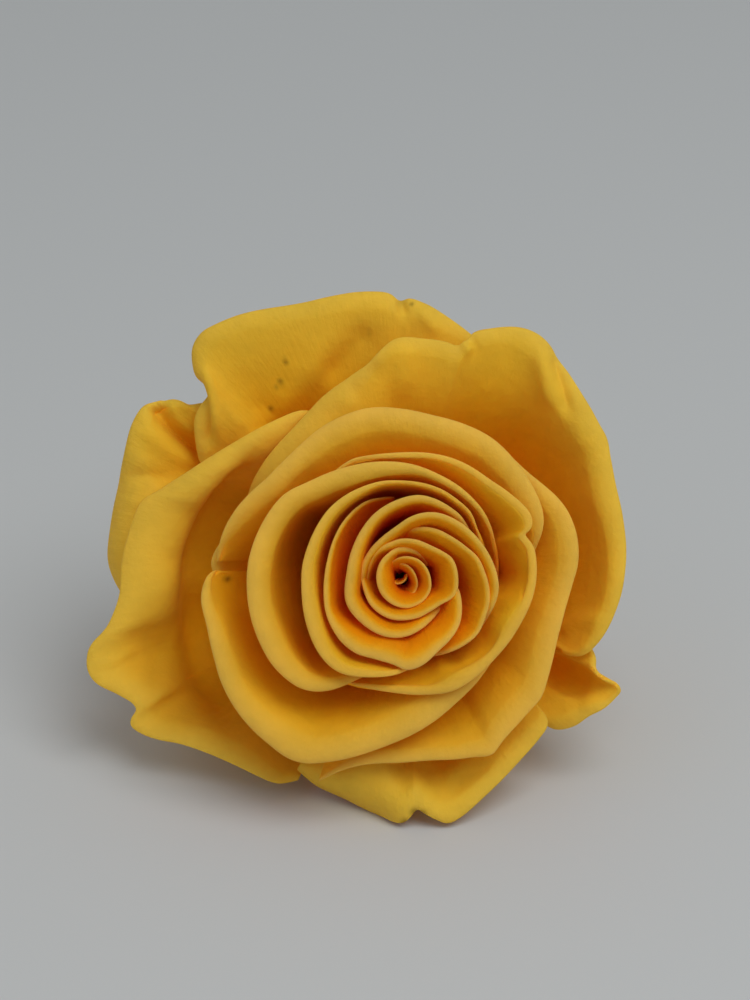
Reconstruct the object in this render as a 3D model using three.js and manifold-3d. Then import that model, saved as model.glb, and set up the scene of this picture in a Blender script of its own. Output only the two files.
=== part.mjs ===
// A preserved rose: one open yellow bloom on a short cut stem, lying on its side.
//
// The bloom is drawn in its own frame: x to the right and y up across the open face, h along the
// stem axis toward the open side, with h = 0 where the petals leave the receptacle. The finished
// bloom is then laid down on its lowest petals and the end of its stem.
import * as THREE from 'three';
import { mergeVertices } from 'three/addons/utils/BufferGeometryUtils.js';
import Module from 'manifold-3d';

// ---- driving dimensions, mm and degrees ----------------------------------------------------
const LIE_ANGLE = 27;          // stem axis above the surface the bloom lies on
const PETAL_THICKNESS = 0.6;
const PETAL_GAP = 0.42;        // clear space kept between one petal and the next
const DOME_RADIUS = 6.5;       // receptacle that the petals grow from
const DOME_CENTRE_H = -4;
const HIP_LENGTH = 8;
const HIP_RADIUS = 5.6;
const STEM_RADIUS = 2.2;
const SEPALS = 5;
const SEPAL_LENGTH = 10.5;
const SEPAL_SPREAD = 24;       // half the angle a sepal's foot takes round the hip
const FIRST_SEPAL = 18;

// ---- the petals, from the heart outward ----------------------------------------------------
// rim:   points on the free margin [x, y, h], and where it changes the lean of the blade there
// root:  first and last angle of the petal's foot round the axis, and its distance from the top
//        of the receptacle measured along the dome
// rise:  angle at which the foot leaves the dome
// lean:  angle of the blade under the margin: 90 stands upright, 0 lies flat outward
// roll:  radius and angle of the margin that rolls outward
// grid:  facets along the margin, up the blade and round the roll
const HEART = [
  { rim: [[0.1, -0.8, 32.8], [-0.6, -0.9, 33.2], [-0.8, -0.1, 33.4], [-0.3, 0.8, 33.5],
      [0.4, 1.1, 33.5], [1.1, 0.9, 33.6], [1.8, 0.2, 33.7], [2.1, -0.8, 33.7],
      [1.8, -1.8, 33.6], [1.1, -2.5, 33.5], [0.2, -2.6, 33.4], [-0.7, -2.3, 33.5],
      [-1.3, -1.6, 33.6], [-1.6, -0.6, 33.8], [-1.6, 0.6, 33.9], [-1.0, 1.6, 34.0],
      [-0.1, 2.0, 34.1], [1.0, 2.1, 34.2], [2.2, 1.7, 34.2], [3.0, 0.9, 34.2],
      [3.3, -0.3, 34.2], [3.3, -1.8, 34.2], [2.8, -2.8, 34.1], [1.7, -3.4, 34.0],
      [0.3, -3.6, 34.0], [-0.9, -3.3, 34.0], [-1.9, -2.6, 34.1], [-2.4, -1.4, 34.2],
      [-2.5, -0.2, 34.2], [-2.3, 1.0, 34.2], [-1.5, 2.0, 34.1], [-0.5, 2.6, 34.0],
      [0.7, 2.8, 33.9], [1.7, 2.6, 33.6], [2.6, 2.1, 33.2]],
    centre: [0.4, -0.7], foot: [0.96, 24.6], lean: 88, roll: [0.3, 40], grid: [40, 2, 1] },
  { rim: [[-3.5, -1.8, 33.2], [-3.2, -3.0, 33.9], [-2.4, -4.0, 34.4], [-1.6, -4.5, 34.6],
      [-0.6, -4.9, 34.8], [0.6, -5.1, 35.0], [1.7, -5.0, 35.0], [2.8, -4.6, 35.0],
      [3.6, -4.0, 35.0], [4.3, -3.2, 35.0], [4.8, -2.3, 35.0], [5.0, -1.3, 35.0],
      [5.0, -0.2, 34.9], [4.7, 0.8, 34.8], [4.1, 1.9, 34.7], [3.3, 3.0, 34.6],
      [2.2, 3.7, 34.6], [0.7, 4.0, 34.6], [-0.8, 3.7, 34.5], [-2.0, 2.9, 34.4],
      [-3.0, 1.8, 34.2], [-3.5, 0.6, 33.8], [-3.6, -0.5, 33.2]],
    centre: [0.5, -0.7], foot: [0.96, 24.6], lean: 87, roll: [0.6, 70], grid: [22, 2, 1] },
  { rim: [[3.9, -5.2, 32.4], [2.8, -5.8, 34.0], [1.4, -6.4, 35.0], [0, -6.8, 35.3],
      [-1.7, -6.7, 35.5], [-2.9, -6.3, 35.6], [-4.1, -5.5, 35.7], [-5.1, -4.4, 35.8],
      [-5.7, -3.2, 35.8], [-5.9, -2.0, 35.8], [-5.9, -0.6, 35.8], [-5.6, 0.9, 35.8],
      [-5.1, 2.6, 35.8], [-4.4, 4.1, 35.8], [-3.7, 5.3, 35.8], [-2.6, 6.6, 35.7],
      [-1.3, 7.5, 35.6], [0, 8.0, 35.6], [1.4, 8.2, 35.5], [3.0, 8.2, 35.4],
      [4.4, 7.8, 35.2], [5.8, 6.9, 34.9], [6.7, 6.2, 34.4], [7.5, 5.3, 33.6]],
    centre: [0.3, 0], foot: [0.88, 24.6], lean: 84, roll: [0.9, 90], grid: [26, 3, 1] },
  { rim: [[-1.9, 4.6, 32.6], [0, 5.3, 34.2], [1.7, 6.0, 35.2], [3.3, 6.3, 35.6],
      [5.0, 5.9, 35.8], [6.7, 5.0, 36.0], [7.9, 4.0, 36.0], [8.9, 2.9, 36.0],
      [9.8, 1.4, 36.0], [10.4, -0.2, 35.9], [10.7, -1.6, 35.8], [10.5, -2.8, 35.7],
      [9.8, -3.9, 35.5], [9.1, -4.9, 35.3], [8.3, -6.1, 35.1], [7.6, -7.2, 34.8],
      [6.8, -8.4, 34.0], [6.0, -9.4, 32.6]],
    centre: [0.3, 0], foot: [0.78, 24.6], lean: 80, roll: [0.8, 85], grid: [18, 3, 1] },
  { rim: [[3.9, 4.3, 31.6], [5.0, 3.4, 33.4], [5.8, 2.4, 34.4], [6.3, 1.3, 35.0],
      [6.4, -0.2, 35.2], [6.5, -1.7, 35.3], [6.6, -3.0, 35.5], [6.7, -4.3, 35.8],
      [6.4, -5.8, 36.0], [5.6, -7.0, 36.1], [4.4, -8.1, 36.2], [3.3, -9.0, 36.2],
      [2.0, -9.8, 36.2], [0.6, -10.1, 36.1], [-1.1, -10.1, 36.0], [-2.4, -9.8, 36.0],
      [-3.9, -9.1, 36.0], [-5.5, -8.2, 36.0], [-6.8, -6.9, 36.0], [-7.8, -5.1, 36.0],
      [-8.3, -3.0, 36.0], [-8.5, -0.8, 35.9], [-8.4, 1.4, 35.7], [-8.0, 3.2, 35.3],
      [-7.3, 4.9, 34.6]],
    centre: [0.3, 0], foot: [0.85, 24.6], lean: 82, roll: [0.7, 80], grid: [26, 3, 1] },
];

const PETALS = [
  { name: 'petal_inner_cup', root: [10, 262, 2.9], rise: 70, lean: 72, roll: [1.3, 100],
    grid: [26, 5, 2],
    rim: [[8.6, 5.8, 33.8], [8.0, 6.5, 35.0], [7.2, 7.3, 35.8], [6.0, 8.5, 36.2],
      [4.4, 9.5, 36.4], [2.2, 10.2, 36.6], [0, 10.3, 36.7], [-2.2, 10.1, 36.7],
      [-4.4, 9.5, 36.8], [-6.1, 8.6, 36.8], [-7.7, 7.1, 36.8], [-8.9, 5.6, 36.8],
      [-9.7, 4.0, 36.8], [-10.4, 1.8, 36.8], [-10.7, -0.8, 36.8], [-10.7, -3.0, 36.8],
      [-10.2, -5.8, 36.8], [-9.4, -8.0, 36.8], [-8.0, -9.7, 36.7], [-6.6, -10.7, 36.6],
      [-4.4, -11.3, 36.5], [-2.2, -11.6, 36.3], [-0.2, -11.5, 35.9], [1.6, -11.2, 35.0],
      [3.0, -10.9, 33.8]] },
  { name: 'petal_mid_left', root: [38, 232, 3.9], rise: 62, lean: 76, roll: [2.3, 100],
    grid: [24, 5, 3],
    rim: [[10.4, 5.0, 32.6], [9.6, 6.2, 34.0], [8.4, 7.6, 35.0], [6.6, 9.3, 35.6],
      [4.6, 10.5, 35.9], [2.2, 11.6, 36.1], [0, 12.1, 36.2], [-2.2, 12.2, 36.2],
      [-5.0, 11.8, 36.2], [-7.8, 11.0, 36.2], [-10.0, 10.0, 36.2], [-12.4, 8.8, 36.2],
      [-14.2, 7.0, 36.2], [-15.5, 4.6, 36.2], [-16.4, 1.6, 36.2], [-16.8, -1.6, 36.2],
      [-16.4, -4.7, 36.2], [-15.4, -7.5, 36.1], [-13.7, -10.5, 35.8], [-12.2, -11.9, 35.6],
      [-10.6, -12.8, 35.3], [-8.8, -13.1, 34.8], [-7.4, -12.9, 33.8], [-6.4, -12.5, 32.2]] },
  { name: 'petal_mid_right', root: [112, -116, 4.9], rise: 56, lean: 63, roll: [1.7, 80],
    grid: [30, 5, 2],
    rim: [[-6.8, 12.0, 33.6], [-4.4, 12.8, 34.6], [-1.6, 13.1, 35.2], [0.6, 13.2, 35.5],
      [3.3, 13.2, 35.7], [5.6, 12.7, 35.8], [7.8, 11.7, 35.8], [10.0, 10.1, 35.8],
      [12.2, 8.4, 35.8], [13.8, 6.8, 35.7], [14.4, 5.4, 35.6], [14.1, 4.4, 35.5],
      [14.5, 3.4, 35.5], [14.8, 2.0, 35.5], [14.9, 0.3, 35.5], [14.7, -1.4, 35.6],
      [14.2, -3.2, 35.7], [13.3, -5.3, 35.8], [12.1, -7.4, 35.8], [10.6, -9.1, 35.8],
      [8.9, -10.6, 35.8], [7.2, -11.9, 35.8], [5.0, -12.9, 35.7], [2.4, -13.4, 35.5],
      [0, -13.4, 35.3], [-2.4, -13.2, 35.0], [-4.2, -13.0, 34.2]] },
  { name: 'petal_outer_top', root: [136, 12, 5.9], rise: 48, lean: 52, roll: [3.2, 66],
    grid: [18, 5, 2],
    rim: [[-13.2, 10.4, 33.4], [-13.1, 11.6, 33.9], [-11.1, 13.9, 34.2], [-8.9, 15.9, 34.3],
      [-5.8, 17.6, 34.2], [-3.3, 18.2, 34.2], [0, 18.1, 34.2], [4.4, 17.3, 34.1],
      [7.8, 16.1, 34.0], [10.2, 14.8, 34.0], [12.3, 12.8, 34.0], [14.4, 9.9, 34.0],
      [15.6, 7.3, 33.9], [15.9, 5.8, 33.7], [15.6, 4.2, 33.3], [15.2, 2.8, 32.6]] },
  { name: 'petal_outer_bottom', root: [183, 304, 5.9], rise: 46, lean: 46, roll: [4.2, 66],
    grid: [20, 5, 2],
    rim: [[-20.6, 0.2, 32.4], [-21.6, -1.0, 33.2], [-21.9, -3.0, 33.6], [-21.4, -5.4, 33.8],
      [-20.7, -8.6, 33.9], [-19.8, -11.9, 33.9], [-18.4, -14.7, 33.9], [-16.6, -17.0, 33.9],
      [-14.4, -19.0, 33.9], [-12.8, -20.2, 33.9], [-11.0, -20.9, 33.9], [-7.8, -20.8, 33.9],
      [-4.4, -20.1, 33.9], [-1.1, -19.0, 33.9], [1.7, -17.7, 33.9], [4.4, -15.9, 33.9],
      [6.8, -13.7, 33.8], [8.9, -11.6, 33.2]] },
  { name: 'petal_outer_left', root: [142, 184, 6.9], rise: 40, lean: 48, roll: [3.4, 66],
    grid: [10, 5, 2],
    rim: [[-12.6, 11.4, 31.8], [-13.9, 10.5, 32.4], [-15.6, 9.3, 32.8], [-17.8, 7.3, 33.0],
      [-19.4, 4.8, 32.8], [-20.1, 2.6, 32.0], [-20.0, 0.6, 30.4], [-19.2, -1.6, 28.0]] },
  { name: 'petal_outer_right', root: [44, -112, 6.9], rise: 38, lean: 42, roll: [3.6, 62],
    grid: [24, 5, 2],
    rim: [[12.9, 11.6, 31.4], [15.6, 9.8, 32.2], [17.3, 8.4, 32.6], [18.3, 7.1, 32.6],
      [19.1, 5.6, 32.6], [19.6, 3.7, 32.6], [19.8, 1.2, 32.5], [19.3, -0.9, 32.4],
      [18.6, -3.0, 32.3], [18.0, -5.2, 32.2], [17.5, -7.4, 32.2], [16.9, -9.7, 32.2],
      [16.4, -11.9, 32.2], [15.7, -13.8, 32.1], [14.5, -15.3, 32.0], [12.9, -17.0, 32.0],
      [11.3, -18.8, 32.0], [10.0, -20.4, 31.9], [6.7, -20.9, 31.7], [3.3, -21.2, 31.4],
      [0, -21.4, 31.0], [-3.6, -21.6, 30.4], [-6.6, -22.2, 29.6], [-9.0, -23.3, 28.4]] },
  { name: 'guard_top_right', root: [152, -24, 8.0], rise: 32, lean: 32, roll: [4.0, 66],
    grid: [34, 6, 2],
    rim: [[-18.0, 8.2, 22.0], [-15.8, 11.9, 24.0], [-13.4, 14.6, 25.4], [-11.2, 17.0, 26.4],
      [-9.0, 19.4, 27.0], [-5.7, 21.9, 27.6], [-3.3, 23.7, 27.9], [-0.3, 26.2, 28.0],
      [2.2, 26.2, 27.6], [5.6, 25.7, 27.2], [7.0, 25.2, 27.0], [8.4, 27.0, 26.8],
      [10.1, 27.4, 26.6], [12.3, 27.6, 26.6], [14.0, 27.5, 26.6], [15.8, 26.6, 26.8],
      [17.2, 24.9, 26.8], [18.6, 23.0, 26.8], [20.3, 20.2, 26.8], [21.6, 18.1, 26.8],
      [22.5, 16.4, 26.8], [23.4, 15.0, 26.8], [23.6, 13.2, 26.8], [23.9, 10.4, 26.8],
      [25.0, 6.5, 26.8], [25.5, 3.7, 26.8], [25.4, 1.4, 26.8], [24.8, -3.0, 26.8],
      [23.5, -6.4, 26.6], [22.4, -8.1, 26.4], [20.9, -9.2, 26.0]] },
  { name: 'guard_bottom', root: [-48, -112, 9.0], rise: 26, lean: 30, roll: [3.6, 50],
    grid: [16, 6, 2],
    rim: [[15.2, -15.0, 26.6], [16.6, -17.0, 27.2], [15.8, -18.5, 27.6], [13.5, -21.1, 27.8],
      [11.3, -23.4, 28.0], [9.0, -25.6, 27.8], [6.9, -27.4, 27.5], [5.4, -28.1, 27.5],
      [4.4, -27.9, 27.8], [2.9, -27.2, 28.0], [2.0, -26.6, 28.0], [1.1, -27.3, 28.1],
      [0, -28.0, 28.1], [-2.2, -27.5, 27.3], [-5.6, -26.1, 26.6], [-9.2, -24.4, 25.6],
      [-11.6, -22.6, 24.2]] },
  { name: 'guard_lower_left', root: [124, 246, 9.0], rise: 26, lean: 24, roll: [5.5, 42],
    grid: [26, 6, 2],
    rim: [[-9.2, 18.0, 23.6], [-11.2, 18.2, 24.2], [-14.6, 16.3, 24.8], [-16.9, 15.2, 25.0],
      [-21.1, 13.0, 24.8], [-25.4, 10.4, 24.2], [-27.1, 9.3, 23.8], [-29.3, 7.9, 23.2],
      [-30.6, 4.8, 23.0], [-31.5, 1.4, 22.8], [-31.8, -2.8, 22.6], [-33.4, -6.6, 22.2],
      [-34.6, -7.8, 22.0], [-35.4, -9.2, 21.8], [-35.4, -11.4, 21.6], [-34.3, -12.9, 21.6],
      [-32.1, -14.0, 21.6], [-29.8, -15.6, 21.8], [-30.9, -17.4, 21.6], [-29.8, -18.3, 21.5],
      [-27.6, -19.1, 21.5], [-24.8, -19.6, 21.5], [-21.4, -20.7, 21.4], [-18.1, -22.1, 21.2],
      [-15.6, -23.3, 20.2], [-13.8, -24.2, 19.8], [-11.4, -23.8, 20.2]] },
  { name: 'guard_lower_right', root: [-18, -50, 10.0], rise: 26, lean: 26, roll: [3.0, 70],
    grid: [12, 6, 2],
    rim: [[18.0, -7.2, 24.4], [20.4, -9.0, 25.2], [22.0, -10.8, 25.4], [23.1, -12.1, 25.2],
      [25.2, -13.3, 24.4], [24.4, -14.4, 24.4], [23.3, -15.5, 24.6], [21.4, -16.4, 24.4],
      [19.9, -17.5, 23.8], [17.5, -17.9, 22.4], [15.4, -17.4, 20.4]] },
  { name: 'guard_top_back', root: [146, 76, 10.0], rise: 20, lean: 24, roll: [4.0, 50],
    grid: [18, 6, 2],
    rim: [[-20.9, 12.6, 19.6], [-21.1, 15.0, 20.4], [-21.4, 18.3, 21.0], [-22.0, 21.2, 21.4],
      [-23.4, 22.4, 21.4], [-23.5, 25.6, 21.4], [-22.5, 27.1, 21.6], [-20.9, 28.0, 21.8],
      [-18.1, 29.1, 22.0], [-14.7, 29.8, 22.2], [-11.3, 30.4, 22.4], [-7.9, 31.2, 22.6],
      [-4.5, 31.7, 22.8], [-1.1, 31.7, 23.0], [0.2, 31.3, 22.6], [2.2, 30.7, 23.0],
      [4.5, 29.4, 23.0], [6.8, 27.8, 22.8], [9.0, 26.0, 22.2]] },
  { name: 'guard_left', root: [138, 186, 11.0], rise: 16, lean: 18, roll: [3.6, 46],
    grid: [12, 6, 2],
    rim: [[-22.4, 19.4, 15.8], [-24.3, 19.4, 16.6], [-26.5, 20.0, 17.2], [-28.2, 19.8, 17.6],
      [-29.4, 19.1, 17.8], [-30.5, 17.3, 18.0], [-31.4, 13.9, 18.0], [-32.5, 9.4, 18.0],
      [-33.2, 6.0, 18.0], [-33.6, 1.4, 18.0], [-33.0, -0.9, 17.8], [-31.9, -3.0, 17.2]] },
];

// The packed middle of the heart that its small petals stand in, [r, h] from the top down.
const CORE_PROFILE = [[0, 26.4], [7.6, 26.2], [8.7, 25.2], [8.6, 22], [7.2, 16], [5.2, 10],
  [3.2, 5.6], [1.6, 3.6], [0, 3.2]];

// ---- finishes --------------------------------------------------------------------------------
const paint = (color, roughness) => new THREE.MeshStandardMaterial({
  color, roughness, metalness: 0, side: THREE.DoubleSide,
});

const rad = THREE.MathUtils.degToRad;
const lerp = THREE.MathUtils.lerp;

// ---- the blade of a petal -----------------------------------------------------------------

// Where a petal's foot stands on the receptacle, s mm down the dome from its top.
function domePoint(s) {
  const a = s / DOME_RADIUS;
  return [DOME_RADIUS * Math.sin(a), DOME_CENTRE_H + DOME_RADIUS * Math.cos(a)];
}

// Cross-section of the blade in the plane through the axis: a cubic from the foot to the start
// of the rolled margin, then the arc of the roll, as rows of [r, h].
function bladeSection(foot, edge, rise, lean, roll, rows) {
  const [radius, turn] = roll;
  const last = Math.max(lean - turn, -90);
  const reach = radius * (Math.sin(rad(lean)) - Math.sin(rad(last)));
  const lift = radius * ((last < 0 ? 1 : Math.cos(rad(last))) - Math.cos(rad(lean)));
  const start = [edge[0] - reach, edge[1] - lift];
  const span = Math.hypot(start[0] - foot[0], start[1] - foot[1]);
  const c1 = [foot[0] + 0.38 * span * Math.cos(rad(rise)), foot[1] + 0.38 * span * Math.sin(rad(rise))];
  const c2 = [start[0] - 0.36 * span * Math.cos(rad(lean)), start[1] - 0.36 * span * Math.sin(rad(lean))];
  const section = [];
  for (let j = 0; j <= rows[0]; j += 1) {
    const t = j / rows[0];
    const k = [(1 - t) ** 3, 3 * t * (1 - t) ** 2, 3 * t * t * (1 - t), t ** 3];
    section.push([0, 1].map((i) => k[0] * foot[i] + k[1] * c1[i] + k[2] * c2[i] + k[3] * start[i]));
  }
  for (let j = 1; j <= rows[1]; j += 1) {
    const angle = lean - (turn * j) / rows[1];
    section.push([
      start[0] + radius * (Math.sin(rad(lean)) - Math.sin(rad(angle))),
      start[1] + radius * (Math.cos(rad(angle)) - Math.cos(rad(lean))),
    ]);
  }
  return section;
}

// The middle surface of a petal as columns of points: every column climbs from the foot to one
// point of the margin, fanned round the given centre.
function petalSheet(petal) {
  const [columns, bladeRows, rollRows] = petal.grid;
  const [cx, cy] = petal.centre ?? [0, 0];
  const knots = petal.rim.map(([x, y, h]) => new THREE.Vector3(x - cx, y - cy, h));
  const margin = new THREE.CatmullRomCurve3(knots, false, 'centripetal');
  const edges = [];
  let previous = null;
  for (let i = 0; i <= columns; i += 1) {
    const p = margin.getPointAt(i / columns);
    let angle = Math.atan2(p.y, p.x);
    if (previous !== null) angle += 2 * Math.PI * Math.round((previous - angle) / (2 * Math.PI));
    previous = angle;
    edges.push({ angle, r: Math.hypot(p.x, p.y), h: p.z });
  }
  const middle = edges[Math.round(columns / 2)].angle;
  return edges.map((edge, i) => {
    let from = edge.angle;
    let foot = petal.foot;
    let rise = 80;
    if (petal.root) {
      const [a0, a1, s] = petal.root;
      from = lerp(rad(a0), rad(a1), i / columns);
      from += 2 * Math.PI * Math.round((middle - rad((a0 + a1) / 2)) / (2 * Math.PI));
      foot = domePoint(s);
      rise = petal.rise;
    } else {
      foot = [petal.foot[0] * edge.r, petal.foot[1]];
    }
    const fromEnd = Math.min(i, columns - i) / columns;
    const ease = 0.3 + 0.7 * Math.sin((Math.PI / 2) * Math.min(1, fromEnd / 0.15));
    const roll = [petal.roll[0] * ease, petal.roll[1]];
    const section = bladeSection(foot, [edge.r, edge.h], rise, petal.lean, roll,
      [bladeRows, rollRows]);
    return section.map(([r, h], j) => {
      const turn = Math.sin((Math.PI / 2) * Math.min(1, j / bladeRows));
      const angle = lerp(from, edge.angle, turn);
      return new THREE.Vector3(cx + r * Math.cos(angle), cy + r * Math.sin(angle), h);
    });
  });
}

// Normals of a sheet, all on the side that faces away from the heart.
function sheetNormals(sheet) {
  const lastColumn = sheet.length - 1;
  const lastRow = sheet[0].length - 1;
  const normals = sheet.map((column, i) => column.map((_, j) => {
    const along = sheet[Math.min(i + 1, lastColumn)][j].clone().sub(sheet[Math.max(i - 1, 0)][j]);
    const up = column[Math.min(j + 1, lastRow)].clone().sub(column[Math.max(j - 1, 0)]);
    return along.cross(up).normalize();
  }));
  const probe = Math.floor(lastRow / 2);
  let facing = 0;
  sheet.forEach((column, i) => {
    facing += normals[i][probe].x * column[probe].x + normals[i][probe].y * column[probe].y;
  });
  if (facing < 0) normals.forEach((column) => column.forEach((n) => n.negate()));
  return { normals, turned: facing < 0 };
}

// Triangles of a sheet, wound so that they face away from the heart.
function sheetTriangles(sheet, turned) {
  const rows = sheet[0].length;
  const list = [];
  for (let i = 0; i + 1 < sheet.length; i += 1) {
    for (let j = 0; j + 1 < rows; j += 1) {
      const a = i * rows + j;
      const b = a + rows;
      const quad = (i + j) % 2 ? [a, b, b + 1, a, b + 1, a + 1] : [a, b, a + 1, b, b + 1, a + 1];
      for (let k = 0; k < 6; k += 3) {
        list.push(turned ? [quad[k], quad[k + 2], quad[k + 1]] : [quad[k], quad[k + 1], quad[k + 2]]);
      }
    }
  }
  return list;
}

// ---- nesting one petal outside the others ---------------------------------------------------
const REACH = 3.2;
const CELL = 2.0;
const cellKey = (x, y, z) => `${x},${y},${z}`;

class Nest {
  constructor() {
    this.cells = new Map();
  }

  add(sheet) {
    const { turned } = sheetNormals(sheet);
    const flat = sheet.flat();
    for (const [a, b, c] of sheetTriangles(sheet, turned)) {
      const triangle = new THREE.Triangle(flat[a].clone(), flat[b].clone(), flat[c].clone());
      const item = { triangle, normal: triangle.getNormal(new THREE.Vector3()) };
      const box = new THREE.Box3().setFromPoints([flat[a], flat[b], flat[c]]).expandByScalar(REACH);
      const lo = box.min.divideScalar(CELL).floor();
      const hi = box.max.divideScalar(CELL).floor();
      for (let x = lo.x; x <= hi.x; x += 1) {
        for (let y = lo.y; y <= hi.y; y += 1) {
          for (let z = lo.z; z <= hi.z; z += 1) {
            const key = cellKey(x, y, z);
            if (!this.cells.has(key)) this.cells.set(key, []);
            this.cells.get(key).push(item);
          }
        }
      }
    }
  }

  // How far a point is from standing `clear` outside the nearest petal, 0 where it already does.
  shortfall(point, clear) {
    const key = cellKey(
      Math.floor(point.x / CELL), Math.floor(point.y / CELL), Math.floor(point.z / CELL));
    const near = new THREE.Vector3();
    const best = new THREE.Vector3();
    let distance = REACH;
    let normal = null;
    for (const { triangle, normal: n } of this.cells.get(key) ?? []) {
      triangle.closestPointToPoint(point, near);
      const d = near.distanceTo(point);
      if (d < distance) {
        distance = d;
        normal = n;
        best.copy(near);
      }
    }
    if (!normal) return 0;
    const side = point.clone().sub(best).dot(normal) / Math.max(distance, 1e-6);
    if (side < -0.7) return clear + distance;
    return Math.max(0, clear - distance);
  }
}

// Eases a sheet outward and a little down until it clears everything nested inside it, keeping
// it smooth. The foot stays where it is.
function settle(sheet, nest, clear) {
  const columns = sheet.length;
  const rows = sheet[0].length;
  const passes = 60;
  for (let pass = 0; pass < passes; pass += 1) {
    const moves = sheet.map((column) => column.map(() => 0));
    let worst = 0;
    const need = (point, corners) => {
      const amount = Math.min(nest.shortfall(point, clear), 0.8);
      worst = Math.max(worst, amount);
      for (const [i, j] of corners) moves[i][j] = Math.max(moves[i][j], amount);
    };
    for (let i = 0; i < columns; i += 1) {
      for (let j = 1; j < rows; j += 1) {
        need(sheet[i][j], [[i, j]]);
        if (i + 1 < columns) {
          const across = sheet[i][j].clone().lerp(sheet[i + 1][j], 0.5);
          const below = sheet[i][j - 1].clone().lerp(sheet[i + 1][j - 1], 0.5);
          need(across, [[i, j], [i + 1, j]]);
          need(across.clone().lerp(below, 0.5), [[i, j], [i + 1, j], [i, j - 1], [i + 1, j - 1]]);
        }
      }
    }
    if (worst < 0.004) break;
    const blur = pass < passes - 14 ? 0.24 : 0.08;
    for (let i = 0; i < columns; i += 1) {
      for (let j = 1; j < rows; j += 1) {
        const beside = [moves[i - 1]?.[j], moves[i + 1]?.[j], moves[i][j - 1], moves[i][j + 1]];
        const shared = beside.reduce((sum, m) => sum + (m ?? 0), 0) * blur;
        const amount = Math.min(0.5, 0.5 * Math.max(moves[i][j], shared));
        const p = sheet[i][j];
        const r = Math.hypot(p.x, p.y) || 1;
        p.add(new THREE.Vector3((p.x / r) * 0.94, (p.y / r) * 0.94, -0.34).multiplyScalar(amount));
      }
    }
  }
}

// ---- solids -----------------------------------------------------------------------------------

// Closes a sheet into a solid blade of even thickness.
function thicken(sheet, thickness) {
  const { normals, turned } = sheetNormals(sheet);
  const rows = sheet[0].length;
  const columns = sheet.length;
  const points = [];
  for (const side of [0.5, -0.5]) {
    sheet.forEach((column, i) => column.forEach((p, j) => {
      const q = p.clone().addScaledVector(normals[i][j], side * thickness);
      points.push(q.x, q.y, q.z);
    }));
  }
  const half = columns * rows;
  const index = [];
  for (const [a, b, c] of sheetTriangles(sheet, turned)) {
    index.push(a, b, c, half + a, half + c, half + b);
  }
  const loop = [];
  for (let i = 0; i < columns - 1; i += 1) loop.push(i * rows);
  for (let j = 0; j < rows - 1; j += 1) loop.push((columns - 1) * rows + j);
  for (let i = columns - 1; i > 0; i -= 1) loop.push(i * rows + rows - 1);
  for (let j = rows - 1; j > 0; j -= 1) loop.push(j);
  loop.forEach((a, k) => {
    const b = loop[(k + 1) % loop.length];
    const wall = turned ? [a, b, half + b, a, half + b, half + a]
      : [a, half + b, b, a, half + a, half + b];
    index.push(...wall);
  });
  const geometry = new THREE.BufferGeometry();
  geometry.setAttribute('position', new THREE.Float32BufferAttribute(points, 3));
  geometry.setIndex(index);
  geometry.computeVertexNormals();
  return geometry;
}

const wasm = await Module();
wasm.setup();

function toSolid(geometry) {
  const bare = geometry.clone();
  for (const name of Object.keys(bare.attributes)) {
    if (name !== 'position') bare.deleteAttribute(name);
  }
  const merged = mergeVertices(bare, 1e-4);
  return new wasm.Manifold(new wasm.Mesh({
    numProp: 3,
    vertProperties: new Float32Array(merged.attributes.position.array),
    triVerts: new Uint32Array(merged.index.array),
  }));
}

function joined(geometries) {
  let solid = toSolid(geometries[0]);
  for (const geometry of geometries.slice(1)) solid = solid.add(toSolid(geometry));
  const mesh = solid.getMesh();
  const geometry = new THREE.BufferGeometry();
  geometry.setAttribute('position', new THREE.Float32BufferAttribute(mesh.vertProperties, 3));
  geometry.setIndex(Array.from(mesh.triVerts));
  geometry.computeVertexNormals();
  return geometry;
}

// A solid of revolution about the stem axis, from [r, h] pairs listed from the top down.
function revolved(profile, sides) {
  const points = [...profile].reverse().map(([r, h]) => new THREE.Vector2(r, h));
  return new THREE.LatheGeometry(points, sides).rotateX(Math.PI / 2);
}

// The side of the core as a sheet, so that petals nest round it.
function coreSheet() {
  const side = CORE_PROFILE.slice(1, -1).reverse();
  return Array.from({ length: 29 }, (_, i) => {
    const a = (2 * Math.PI * i) / 28;
    return side.map(([r, h]) => new THREE.Vector3(r * Math.cos(a), r * Math.sin(a), h));
  });
}

// ---- the bloom --------------------------------------------------------------------------------
const flower = new THREE.Group();
flower.name = 'flower';

function place(name, geometry, material) {
  const mesh = new THREE.Mesh(geometry, material);
  mesh.name = name;
  flower.add(mesh);
}

const nest = new Nest();
const clear = PETAL_THICKNESS + PETAL_GAP;

const heartSheets = HEART.map((petal) => petalSheet(petal));
heartSheets.forEach((sheet) => nest.add(sheet));
const core = revolved(CORE_PROFILE, 28);
nest.add(coreSheet());
place('heart_petals', joined([core, ...heartSheets.map((s) => thicken(s, PETAL_THICKNESS))]),
  paint('#e2a01c', 0.72));

for (const petal of PETALS) {
  const sheet = petalSheet(petal);
  settle(sheet, nest, clear);
  nest.add(sheet);
  place(petal.name, thicken(sheet, PETAL_THICKNESS), paint('#e9b12a', 0.72));
}

// ---- receptacle, sepals and stem --------------------------------------------------------------
const GREEN = '#5f6d37';

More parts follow.
